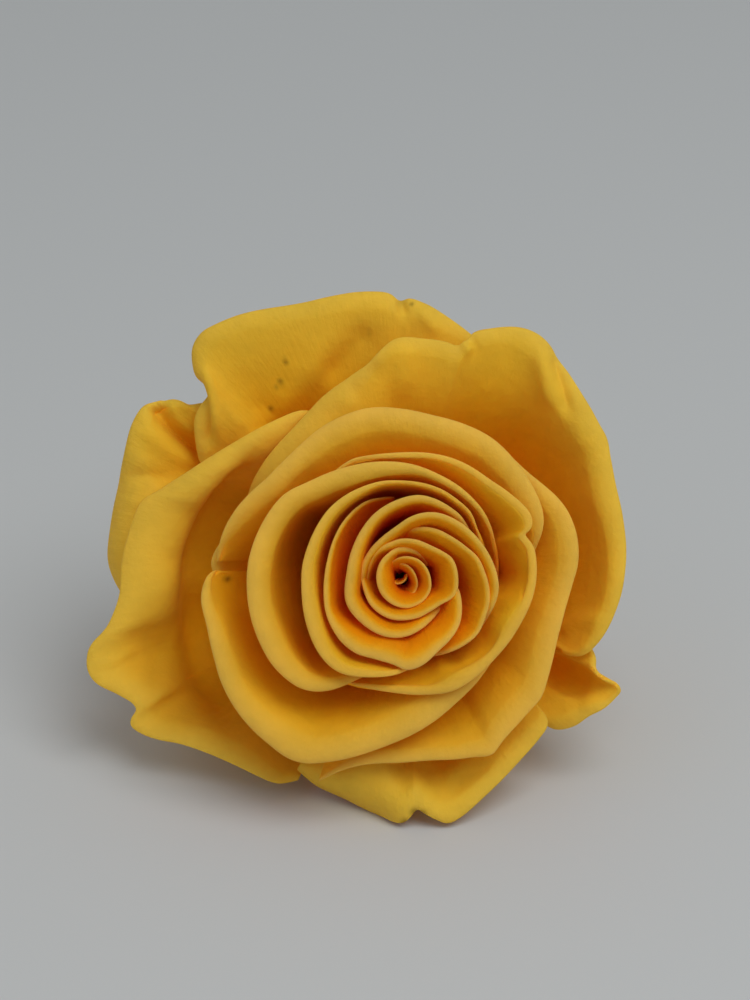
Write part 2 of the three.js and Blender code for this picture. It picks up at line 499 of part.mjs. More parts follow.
// A sepal is a short pointed blade under the guard petals, drawn like a petal.
function sepal(angle) {
  const point = (turn, out, h) => [
    out * Math.cos(rad(angle + turn)), out * Math.sin(rad(angle + turn)), h,
  ];
  const tip = DOME_RADIUS + SEPAL_LENGTH;
  return {
    rim: [point(SEPAL_SPREAD, 8.6, -3.4), point(16, 11.2, -1.8), point(7, 14.2, -0.4),
      point(0, tip, 0.4), point(-7, 14.2, -0.4), point(-16, 11.2, -1.8),
      point(-SEPAL_SPREAD, 8.6, -3.4)],
    root: [angle + SEPAL_SPREAD, angle - SEPAL_SPREAD, 12.2],
    rise: 16, lean: 34, roll: [1.2, 40], grid: [8, 4, 1],
  };
}

for (let k = 0; k < SEPALS; k += 1) {
  const sheet = petalSheet(sepal(FIRST_SEPAL + (360 / SEPALS) * k));
  settle(sheet, nest, clear);
  place(`sepal_${k + 1}`, thicken(sheet, PETAL_THICKNESS), paint(GREEN, 0.75));
}

// Laid down, the bloom rests on its lowest petals and on the lower edge of the cut stem end.
flower.rotation.x = rad(90 - LIE_ANGLE);
flower.updateMatrixWorld(true);
const floor = new THREE.Box3().setFromObject(flower, true).min.z;
const stemEnd = (floor + STEM_RADIUS * Math.cos(rad(LIE_ANGLE))) / Math.sin(rad(LIE_ANGLE));

const dome = Array.from({ length: 6 }, (_, i) => {
  const a = (i / 5) * (Math.PI / 2);
  return [(DOME_RADIUS - 1) * Math.sin(a), DOME_CENTRE_H + (DOME_RADIUS - 1) * Math.cos(a)];
});
place('stem', revolved([
  ...dome,
  [HIP_RADIUS, DOME_CENTRE_H - 1.6],
  [HIP_RADIUS - 0.6, DOME_CENTRE_H - 3.6],
  [HIP_RADIUS - 2.2, DOME_CENTRE_H - HIP_LENGTH + 1.4],
  [STEM_RADIUS + 0.2, DOME_CENTRE_H - HIP_LENGTH],
  [STEM_RADIUS, DOME_CENTRE_H - HIP_LENGTH - 2],
  [STEM_RADIUS, stemEnd],
  [0, stemEnd],
], 20), paint(GREEN, 0.75));

const rose = new THREE.Group();
rose.name = 'rose';
rose.add(flower);
rose.updateMatrixWorld(true);
const box = new THREE.Box3().setFromObject(rose, true);
flower.position.set(-(box.min.x + box.max.x) / 2, -(box.min.y + box.max.y) / 2, -box.min.z);

export default rose;
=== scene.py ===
# A preserved rose: one open yellow bloom on a short cut stem, lying on its side.
import math

import bmesh
import bpy
import numpy as np
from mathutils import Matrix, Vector, noise
from mathutils.bvhtree import BVHTree


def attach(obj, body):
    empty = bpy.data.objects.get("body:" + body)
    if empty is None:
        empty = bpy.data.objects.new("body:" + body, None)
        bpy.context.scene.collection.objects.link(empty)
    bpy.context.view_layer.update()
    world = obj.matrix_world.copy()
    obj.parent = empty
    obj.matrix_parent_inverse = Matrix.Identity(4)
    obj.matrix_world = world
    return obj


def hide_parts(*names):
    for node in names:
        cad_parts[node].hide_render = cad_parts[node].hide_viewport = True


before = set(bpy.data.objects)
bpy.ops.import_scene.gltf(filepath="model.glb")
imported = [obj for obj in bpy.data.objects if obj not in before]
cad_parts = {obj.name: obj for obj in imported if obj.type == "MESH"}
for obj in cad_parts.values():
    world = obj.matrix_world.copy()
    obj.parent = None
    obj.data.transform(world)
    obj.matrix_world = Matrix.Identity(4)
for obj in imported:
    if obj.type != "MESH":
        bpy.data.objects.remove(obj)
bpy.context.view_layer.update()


# ---- the lie of the bloom ----
# A cut bloom lies on its lowest guard petals and the end of its stem, with the stem's axis
# rising to the open side. Sizes below are millimetres in the bloom's own frame: x across and
# y up the open face, h along the axis, with h = 0 where the petals leave the receptacle.
LIE_ANGLE = math.radians(27)
MM = 0.001
RECEPTACLE_TOP = 1.5
AXES = np.array([[1.0, 0.0, 0.0],
                 [0.0, math.sin(LIE_ANGLE), math.cos(LIE_ANGLE)],
                 [0.0, -math.cos(LIE_ANGLE), math.sin(LIE_ANGLE)]])
stem_points = np.array([v.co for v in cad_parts["stem"].data.vertices])
stem_top = stem_points[np.argmax(stem_points @ AXES[2])]
ORIGIN = stem_top - RECEPTACLE_TOP * MM * AXES[2]


def placed(points):
    """Row-frame metres of points [x, y, h] in the bloom's millimetres."""
    return ORIGIN + (np.asarray(points) @ AXES) * MM


# ---- the heart ----
# The innermost petals never open: the smallest is coiled on itself, the next ones close round
# it. Each is one thin velvety blade, softened with glycerine, so that it keeps its curl.
PETAL_THICKNESS = 0.42
PETAL_GAP = 0.22
MARGIN_THINNING = 0.35
# The petals' feet stand on the receptacle, a dome round this centre on the axis.
DOME_RADIUS = 6.5
DOME_CENTRE_H = -4.0


def spline_weights(count, fine):
    """Weights that carry a smooth curve through `count` points to `fine` even steps along it."""
    t = np.linspace(0, count - 1, fine)
    i = np.minimum(t.astype(int), count - 2)
    f = t - i
    basis = [(-f + 2 * f**2 - f**3) / 2, (2 - 5 * f**2 + 3 * f**3) / 2,
             (f + 4 * f**2 - 3 * f**3) / 2, (f**3 - f**2) / 2]
    weights = np.zeros((fine, count))
    for k, part in enumerate(basis):
        np.add.at(weights, (np.arange(fine), np.clip(i - 1 + k, 0, count - 1)), part)
    return weights


CURVE_STEPS = 24


def smooth_line(knots, count):
    """Points at even distances on a smooth curve through the knots."""
    p = np.array(knots, float)
    p = np.vstack([2 * p[0] - p[1], p, 2 * p[-1] - p[-2]])
    dense = []
    for a, b, c, d in zip(p[:-3], p[1:-2], p[2:-1], p[3:]):
        t1 = max(np.linalg.norm(b - a), 1e-4) ** 0.5
        t2 = t1 + max(np.linalg.norm(c - b), 1e-4) ** 0.5
        t3 = t2 + max(np.linalg.norm(d - c), 1e-4) ** 0.5
        for t in np.linspace(t1, t2, CURVE_STEPS, endpoint=False):
            a1 = (t1 - t) / t1 * a + t / t1 * b
            a2 = (t2 - t) / (t2 - t1) * b + (t - t1) / (t2 - t1) * c
            a3 = (t3 - t) / (t3 - t2) * c + (t - t2) / (t3 - t2) * d
            b1 = (t2 - t) / t2 * a1 + t / t2 * a2
            b2 = (t3 - t) / (t3 - t1) * a2 + (t - t1) / (t3 - t1) * a3
            dense.append((t2 - t) / (t2 - t1) * b1 + (t - t1) / (t2 - t1) * b2)
    dense = np.array(dense + [p[-2]])
    length = np.concatenate([[0], np.cumsum(np.linalg.norm(np.diff(dense, axis=0), axis=1))])
    at = np.linspace(0, length[-1], count)
    return np.column_stack([np.interp(at, length, dense[:, k]) for k in range(dense.shape[1])])


def along(values, count):
    """A value at each step of the margin, from one number or from pairs (place 0 to 1, value)."""
    if np.isscalar(values):
        return np.full(count, float(values))
    at, value = np.array(values, float).T
    u = np.linspace(0, 1, count)
    i = np.clip(np.searchsorted(at, u) - 1, 0, len(at) - 2)
    f = np.clip((u - at[i]) / (at[i + 1] - at[i]), 0, 1)
    return value[i] + (value[i + 1] - value[i]) * f * f * (3 - 2 * f)


FOOT_PULL = 0.38
MARGIN_PULL = 0.36


def blade_section(foot, edge, rise, lean, radius, turn, rows):
    """Rows of [r, h] from the foot up the blade, then round the roll of the margin.

    The blade leaves the foot at `rise` and meets the roll at `lean`, both up from outward. The
    roll turns down by `turn`, and `edge` is how far out and how high it reaches."""
    last = max(lean - turn, -math.pi / 2)
    reach = radius * (math.sin(lean) - math.sin(last))
    lift = radius * ((1 if last < 0 else math.cos(last)) - math.cos(lean))
    start = np.array([edge[0] - reach, edge[1] - lift])
    span = np.linalg.norm(start - foot)
    c1 = foot + FOOT_PULL * span * np.array([math.cos(rise), math.sin(rise)])
    c2 = start - MARGIN_PULL * span * np.array([math.cos(lean), math.sin(lean)])
    t = np.linspace(0, 1, rows[0] + 1)[:, None]
    blade = (1 - t)**3 * foot + 3 * t * (1 - t)**2 * c1 + 3 * t * t * (1 - t) * c2 + t**3 * start
    angle = lean - turn * np.arange(1, rows[1] + 1) / rows[1]
    roll = start + radius * np.column_stack(
        [math.sin(lean) - np.sin(angle), np.cos(angle) - math.cos(lean)])
    return np.vstack([blade, roll])


def eased(line, reach):
    """A line with its short bends averaged out over `reach` points each way."""
    steps = np.arange(-2 * reach, 2 * reach + 1)
    weight = np.exp(-(steps / reach) ** 2)
    ends = np.vstack([2 * line[0] - line[2 * reach:0:-1], line,
                      2 * line[-1] - line[-2:-2 * reach - 2:-1]])
    return np.column_stack([np.convolve(ends[:, k], weight / weight.sum(), mode="valid")
                            for k in range(line.shape[1])])


END_OF_ROLL = 0.3
END_SHARE = 0.15
NICK_FADE = 5


def petal_sheet(rim, columns, rows, lean, roll, root=None, foot=None, centre=(0, 0), rise=80,
                nicked=0):
    """The middle surface of a petal, [column, row, xyh]: each column climbs to the margin.

    The feet stand on the dome, with root=(first angle, last angle, mm from its top), or under
    the margin, with foot=(share of the margin's radius, height). The roll's radius eases
    off toward both ends of the margin. Nicks and bends of the margin shorter than `nicked` of
    its length fade out down the blade."""
    ragged = smooth_line(rim, columns + 1) - [centre[0], centre[1], 0]
    edge = eased(ragged, max(1, round(nicked * columns))) if nicked else ragged
    angle = np.unwrap(np.arctan2(edge[:, 1], edge[:, 0]))
    u = np.linspace(0, 1, columns + 1)
    if root:
        start = np.radians(root[0] + (root[1] - root[0]) * u)
        middle = np.radians((root[0] + root[1]) / 2)
        start += 2 * np.pi * np.round((angle[round(columns / 2)] - middle) / (2 * np.pi))
        a = root[2] / DOME_RADIUS
        feet = np.tile([DOME_RADIUS * np.sin(a), DOME_CENTRE_H + DOME_RADIUS * np.cos(a)],
                       (columns + 1, 1))
    else:
        start = angle
        feet = np.column_stack([foot[0] * np.hypot(edge[:, 0], edge[:, 1]),
                                np.full(columns + 1, float(foot[1]))])
    from_end = np.minimum(u, 1 - u)
    ease = END_OF_ROLL + (1 - END_OF_ROLL) * np.sin(np.pi / 2 * np.minimum(1, from_end / END_SHARE))
    rises, leans = np.radians(along(rise, columns + 1)), np.radians(along(lean, columns + 1))
    radii = along(roll[0], columns + 1) * ease
    turns = np.radians(along(roll[1], columns + 1))
    sheet = np.zeros((columns + 1, rows[0] + rows[1] + 1, 3))
    swing = np.sin(np.pi / 2 * np.minimum(1, np.arange(rows[0] + rows[1] + 1) / rows[0]))
    for i in range(columns + 1):
        section = blade_section(feet[i], np.array([math.hypot(*edge[i, :2]), edge[i, 2]]),
                                rises[i], leans[i], radii[i], turns[i], rows)
        turn = start[i] + (angle[i] - start[i]) * swing
        sheet[i, :, 0] = centre[0] + section[:, 0] * np.cos(turn)
        sheet[i, :, 1] = centre[1] + section[:, 0] * np.sin(turn)
        sheet[i, :, 2] = section[:, 1]
    near_margin = np.minimum(1, np.arange(rows[0] + rows[1] + 1) / rows[0]) ** NICK_FADE
    return sheet + (ragged - edge)[:, None, :] * near_margin[None, :, None]


def outward_normals(sheet):
    """Unit normals of a sheet on the side that faces away from the heart."""
    across = np.gradient(sheet, axis=0)
    up = np.gradient(sheet, axis=1)
    normal = np.cross(across, up)
    normal /= np.maximum(np.linalg.norm(normal, axis=2, keepdims=True), 1e-9)
    probe = (sheet.shape[1] - 1) // 2
    if (normal[:, probe, :2] * sheet[:, probe, :2]).sum() < 0:
        normal = -normal
    return normal


FOLD_STEPS = 40
FOLD_FADE = (0.3, 0.3)
PAST_THE_ENDS = 0.02


def fold(sheet, folds):
    """Raises ridges and presses grooves along lines drawn on the open face.

    Each fold is (height, width, line), and a fourth item gives the shares of the line over
    which it fades in and out."""
    inward = -outward_normals(sheet)
    shift = np.zeros(sheet.shape[:2])
    for height, width, line, *fade in folds:
        path = smooth_line(line, FOLD_STEPS)
        offset = sheet[:, :, None, :2] - path[None, None]
        distance = np.linalg.norm(offset, axis=3)
        nearest = distance.argmin(axis=2)
        distance = distance.min(axis=2)
        place = nearest / (FOLD_STEPS - 1)
        first, second = fade[0] if fade else FOLD_FADE
        taper = np.minimum(1, (place + PAST_THE_ENDS) / first)
        taper = taper * np.minimum(1, (1 + PAST_THE_ENDS - place) / second)
        taper = taper * taper * (3 - 2 * taper)
        shift += height * np.exp(-(distance / width) ** 2) * taper
    return sheet + inward * shift[:, :, None]


nested = []
CLEAR_OF_NEXT = PETAL_THICKNESS + PETAL_GAP


def nest(sheet):
    """Adds a petal to those that the next ones have to stand outside."""
    columns, rows = sheet.shape[:2]
    index = np.arange(columns * rows).reshape(columns, rows)
    quads = np.stack([index[:-1, :-1], index[1:, :-1], index[1:, 1:], index[:-1, 1:]], axis=-1)
    points = sheet.reshape(-1, 3)
    facing = outward_normals(sheet)
    corner = np.cross(sheet[1:, :-1] - sheet[:-1, :-1], sheet[1:, 1:] - sheet[:-1, :-1])
    if (corner * facing[:-1, :-1]).sum() < 0:
        quads = quads[..., ::-1]
    nested.append(BVHTree.FromPolygons(points.tolist(), quads.reshape(-1, 4).tolist()))


SEARCH_REACH = 3.2
WELL_INSIDE = -0.7
FACES_OUT = 0.2


def shortfall(point, clear):
    """How far a point is from standing `clear` outside the nearest petal, and its distance.

    A point well inside a wall that faces outward has slipped through it and goes back out."""
    nearest = SEARCH_REACH
    found = None
    for tree in nested:
        hit = tree.find_nearest(point, nearest)
        if hit[0] is not None and hit[3] < nearest:
            nearest = hit[3]
            found = hit
    if found is None:
        return 0.0, nearest
    side = (Vector(point) - found[0]).dot(found[1]) / max(nearest, 1e-6)
    wall_faces_out = found[1].xy.dot(found[0].xy.normalized()) > FACES_OUT
    if side < WELL_INSIDE and wall_faces_out:
        return clear + nearest, 0.0
    return max(0.0, clear - nearest), nearest


def spread(need):
    """A smooth field that is nowhere much below `need`."""
    wide = np.pad(need, 1, mode="edge")
    field = np.max([wide[a:a + need.shape[0], b:b + need.shape[1]]
                    for a in range(3) for b in range(3)], axis=0)
    for _ in range(3):
        wide = np.pad(field, 1, mode="edge")
        field = (wide[:-2, 1:-1] + 2 * wide[1:-1, 1:-1] + wide[2:, 1:-1]) / 4
        wide = np.pad(field, 1, mode="edge")
        field = (wide[1:-1, :-2] + 2 * wide[1:-1, 1:-1] + wide[1:-1, 2:]) / 4
    return field


LONGEST_MOVE = 0.6
CLOSE_ENOUGH = 0.01
MOVE_SHARE = 0.5
MOVE_OUT = 0.94
MOVE_DOWN = 0.34


def settle(sheet, passes=60, clear=CLEAR_OF_NEXT):
    """Eases a petal outward and a little down until it clears the petals nested inside it."""
    columns, rows = sheet.shape[:2]
    spare = np.zeros((columns, rows))
    for _ in range(passes):
        need = np.zeros((columns, rows))
        for i in range(columns):
            for j in range(1, rows):
                if spare[i, j] > 0:
                    continue
                short, distance = shortfall(sheet[i, j], clear)
                need[i, j] = min(short, LONGEST_MOVE)
                spare[i, j] = distance - clear if short == 0 else 0
        if need.max() < CLOSE_ENOUGH:
            break
        amount = MOVE_SHARE * spread(need)
        amount[:, 0] = 0
        outward = sheet[:, :, :2] / np.maximum(
            np.linalg.norm(sheet[:, :, :2], axis=2, keepdims=True), 1e-6)
        sheet[:, :, :2] += MOVE_OUT * outward * amount[:, :, None]
        sheet[:, :, 2] -= MOVE_DOWN * amount
        spare -= amount
    return sheet


SEED_STEP = 7.3


def ripple(sheet, size, height, seed):
    """Soft unevenness of the blade, `size` mm from crest to crest, least at the foot."""
    inward = -outward_normals(sheet)
    columns, rows = sheet.shape[:2]
    shift = np.array([[noise.noise(Vector(sheet[i, j]) / size + Vector((seed * SEED_STEP, 0, 0)))
                       for j in range(rows)] for i in range(columns)])
    rising = np.linspace(0, 1, rows)[None, :]
    return sheet + inward * (shift * height * rising)[:, :, None]


def solid_petal(name, sheet, material, thickness=PETAL_THICKNESS):
    """A closed blade from a sheet, with a thin soft margin."""
    columns, rows = sheet.shape[:2]
    bpy.ops.object.select_all(action="DESELECT")
    bpy.ops.mesh.primitive_grid_add(x_subdivisions=columns - 1, y_subdivisions=rows - 1,
                                    size=1, calc_uvs=True)
    blade = bpy.context.object
    blade.name = name
    flat = np.array([v.co for v in blade.data.vertices])
    i = np.round((flat[:, 0] + 0.5) * (columns - 1)).astype(int)
    j = np.round((flat[:, 1] + 0.5) * (rows - 1)).astype(int)
    blade.data.vertices.foreach_set("co", placed(sheet[i, j]).ravel())
    body = blade.vertex_groups.new(name="blade")
    on_margin = (i == 0) | (i == columns - 1) | (j == rows - 1)
    body.add([k for k in range(len(i)) if not on_margin[k]], 1.0, "REPLACE")
    bpy.ops.object.mode_set(mode="EDIT")
    bpy.ops.mesh.select_all(action="SELECT")
    bpy.ops.mesh.normals_make_consistent(inside=False)
    bpy.ops.object.mode_set(mode="OBJECT")
    wall = blade.modifiers.new("wall", "SOLIDIFY")
    wall.thickness = thickness * MM
    wall.offset = 0
    wall.vertex_group = "blade"
    wall.thickness_vertex_group = MARGIN_THINNING
    bpy.ops.object.modifier_apply(modifier="wall")
    soft = blade.modifiers.new("soft", "SUBSURF")
    soft.levels = soft.render_levels = 1
    bpy.ops.object.modifier_apply(modifier="soft")
    bpy.ops.object.shade_smooth()
    blade.data.materials.append(material)
    return blade


def linear(colour):
    """Linear red, green, blue and alpha of an sRGB hex colour."""
    parts = [int(colour[k:k + 2], 16) / 255 for k in (1, 3, 5)]
    return [c / 12.92 if c <= 0.04045 else ((c + 0.055) / 1.055) ** 2.4 for c in parts] + [1.0]


def add_node(material, kind, links=(), **settings):
    """Adds a node, sets its settings by name and its inputs by number or name, and links it."""
    node = material.node_tree.nodes.new(kind)
    for key, value in settings.items():
        if key.startswith("in_"):
            socket = key[3:]
            socket = int(socket) if socket.isdigit() else socket.replace("_", " ")
            node.inputs[socket].default_value = value
        else:
            setattr(node, key, value)
    for source, output, target in links:
        material.node_tree.links.new(source.outputs[output], node.inputs[target])
    return node


def new_material(name, values):
    """A material and its surface shader, whose inputs take the values."""
    material = bpy.data.materials.new(name)
    material.use_nodes = True
    shader = material.node_tree.nodes["Principled BSDF"]
    for socket, value in values.items():
        shader.inputs[socket].default_value = value
    return material, shader


def ramp_node(material, source, output, stops):
    """A colour ramp through (place, hex colour) stops."""
    node = add_node(material, "ShaderNodeValToRGB", [(source, output, "Fac")])
    elements = node.color_ramp.elements
    while len(elements) < len(stops):
        elements.new(0.5)
    for element, (place, colour) in zip(elements, stops):
        element.position = place
        element.color = linear(colour)
    return node


# Brown of a bruised or dried spot on a petal.
WORN = "#6e3c08"
# The grain is drawn a few times coarser than the real cells of 0.03 mm, so that it shows.
MOTTLE_SIZE = 6
CREASE_SIZE = 1.6
GRAIN_SIZE = 0.16


def petal_velvet_with_painted_shade(name, stops):
    """Glycerine-preserved rose petal: dyed cells under a velvet of tiny cones.

    It is matt with a pale bloom at grazing light, lets some light through and shows its veins
    as faint ribs. The stops colour the blade from its foot to its margin: the deep red-orange
    of the foot is painted shade and glow of the deep gaps between petals, and the pale margin
    is partly the petal's own tone, partly painted highlight on the rolled lips."""
    material, shader = new_material(name, {
        "Roughness": 0.62, "Specular IOR Level": 0.12,
        "Sheen Weight": 0.03, "Sheen Roughness": 0.5, "Sheen Tint": linear("#ffd27a"),
        "Subsurface Weight": 0.45, "Subsurface Radius": (0.8, 0.55, 0.12),
        "Subsurface Scale": MM})
    shader.subsurface_method = "BURLEY"
    tree = material.node_tree
    coordinates = add_node(material, "ShaderNodeTexCoord")
    place = add_node(material, "ShaderNodeSeparateXYZ", [(coordinates, "UV", 0)])
    # Ramp from foot to margin: its red foot is painted shade of the gaps, its pale margin partly
    # painted highlight.
    colour = ramp_node(material, place, "Y", stops)
    mottle = add_node(material, "ShaderNodeTexNoise", [(coordinates, "Object", "Vector")],
                      in_Scale=1 / (MOTTLE_SIZE * MM), in_Detail=3.0, in_Roughness=0.6)
    shade = add_node(material, "ShaderNodeMapRange", [(mottle, "Fac", "Value")],
                     in_1=0.3, in_2=0.7, in_3=0.93, in_4=1.04)
    tinted = add_node(material, "ShaderNodeVectorMath",
                      [(colour, "Color", 0), (shade, "Result", "Scale")], operation="SCALE")
    worn = add_node(material, "ShaderNodeAttribute", attribute_name="wear")
    spotted = add_node(material, "ShaderNodeMix", [(worn, "Fac", 0), (tinted, "Vector", 6)],
                       data_type="RGBA", in_7=linear(WORN))
    tree.links.new(spotted.outputs[2], shader.inputs["Base Color"])
    through = add_node(material, "ShaderNodeBsdfTranslucent", [(spotted, 2, "Color")])
    thin = add_node(material, "ShaderNodeMixShader",
                    [(shader, "BSDF", 1), (through, "BSDF", 2)], in_0=0.2)
    tree.links.new(thin.outputs["Shader"], tree.nodes["Material Output"].inputs["Surface"])
    stretch = add_node(material, "ShaderNodeMapping", [(coordinates, "UV", "Vector")],
                       in_Scale=(60, 5, 1))
    veins = add_node(material, "ShaderNodeTexNoise", [(stretch, "Vector", "Vector")],
                     in_Scale=1.0, in_Detail=4.0, in_Roughness=0.65)
    creases = add_node(material, "ShaderNodeTexNoise", [(coordinates, "Object", "Vector")],
                       in_Scale=1 / (CREASE_SIZE * MM), in_Detail=4.0, in_Roughness=0.6)
    grain = add_node(material, "ShaderNodeTexVoronoi", [(coordinates, "Object", "Vector")],
                     in_Scale=1 / (GRAIN_SIZE * MM))
    below = []
    for pattern, output, strength, depth in ((veins, "Fac", 0.4, 0.3), (creases, "Fac", 0.6, 0.3),
                                             (grain, "Distance", 0.25, 0.05)):
        bump = add_node(material, "ShaderNodeBump", [(pattern, output, "Height"), *below],
                        in_Strength=strength, in_Distance=depth * MM)
        below = [(bump, "Normal", "Normal")]
    tree.links.new(bump.outputs["Normal"], shader.inputs["Normal"])
    return material


# Deep red at the foot is painted shade and glow of the gaps in the heart; the pale margin stops are
# partly painted highlight.
heart_velvet_painted_shade = petal_velvet_with_painted_shade("preserved petal, heart, painted shade",
                            [(0, "#ea3c00"), (0.3, "#f87000"), (0.52, "#fb8e00"),
                             (0.62, "#fda602"), (0.73, "#fdba1c"), (0.84, "#f9c848"),
                             (1, "#f7cf62")])

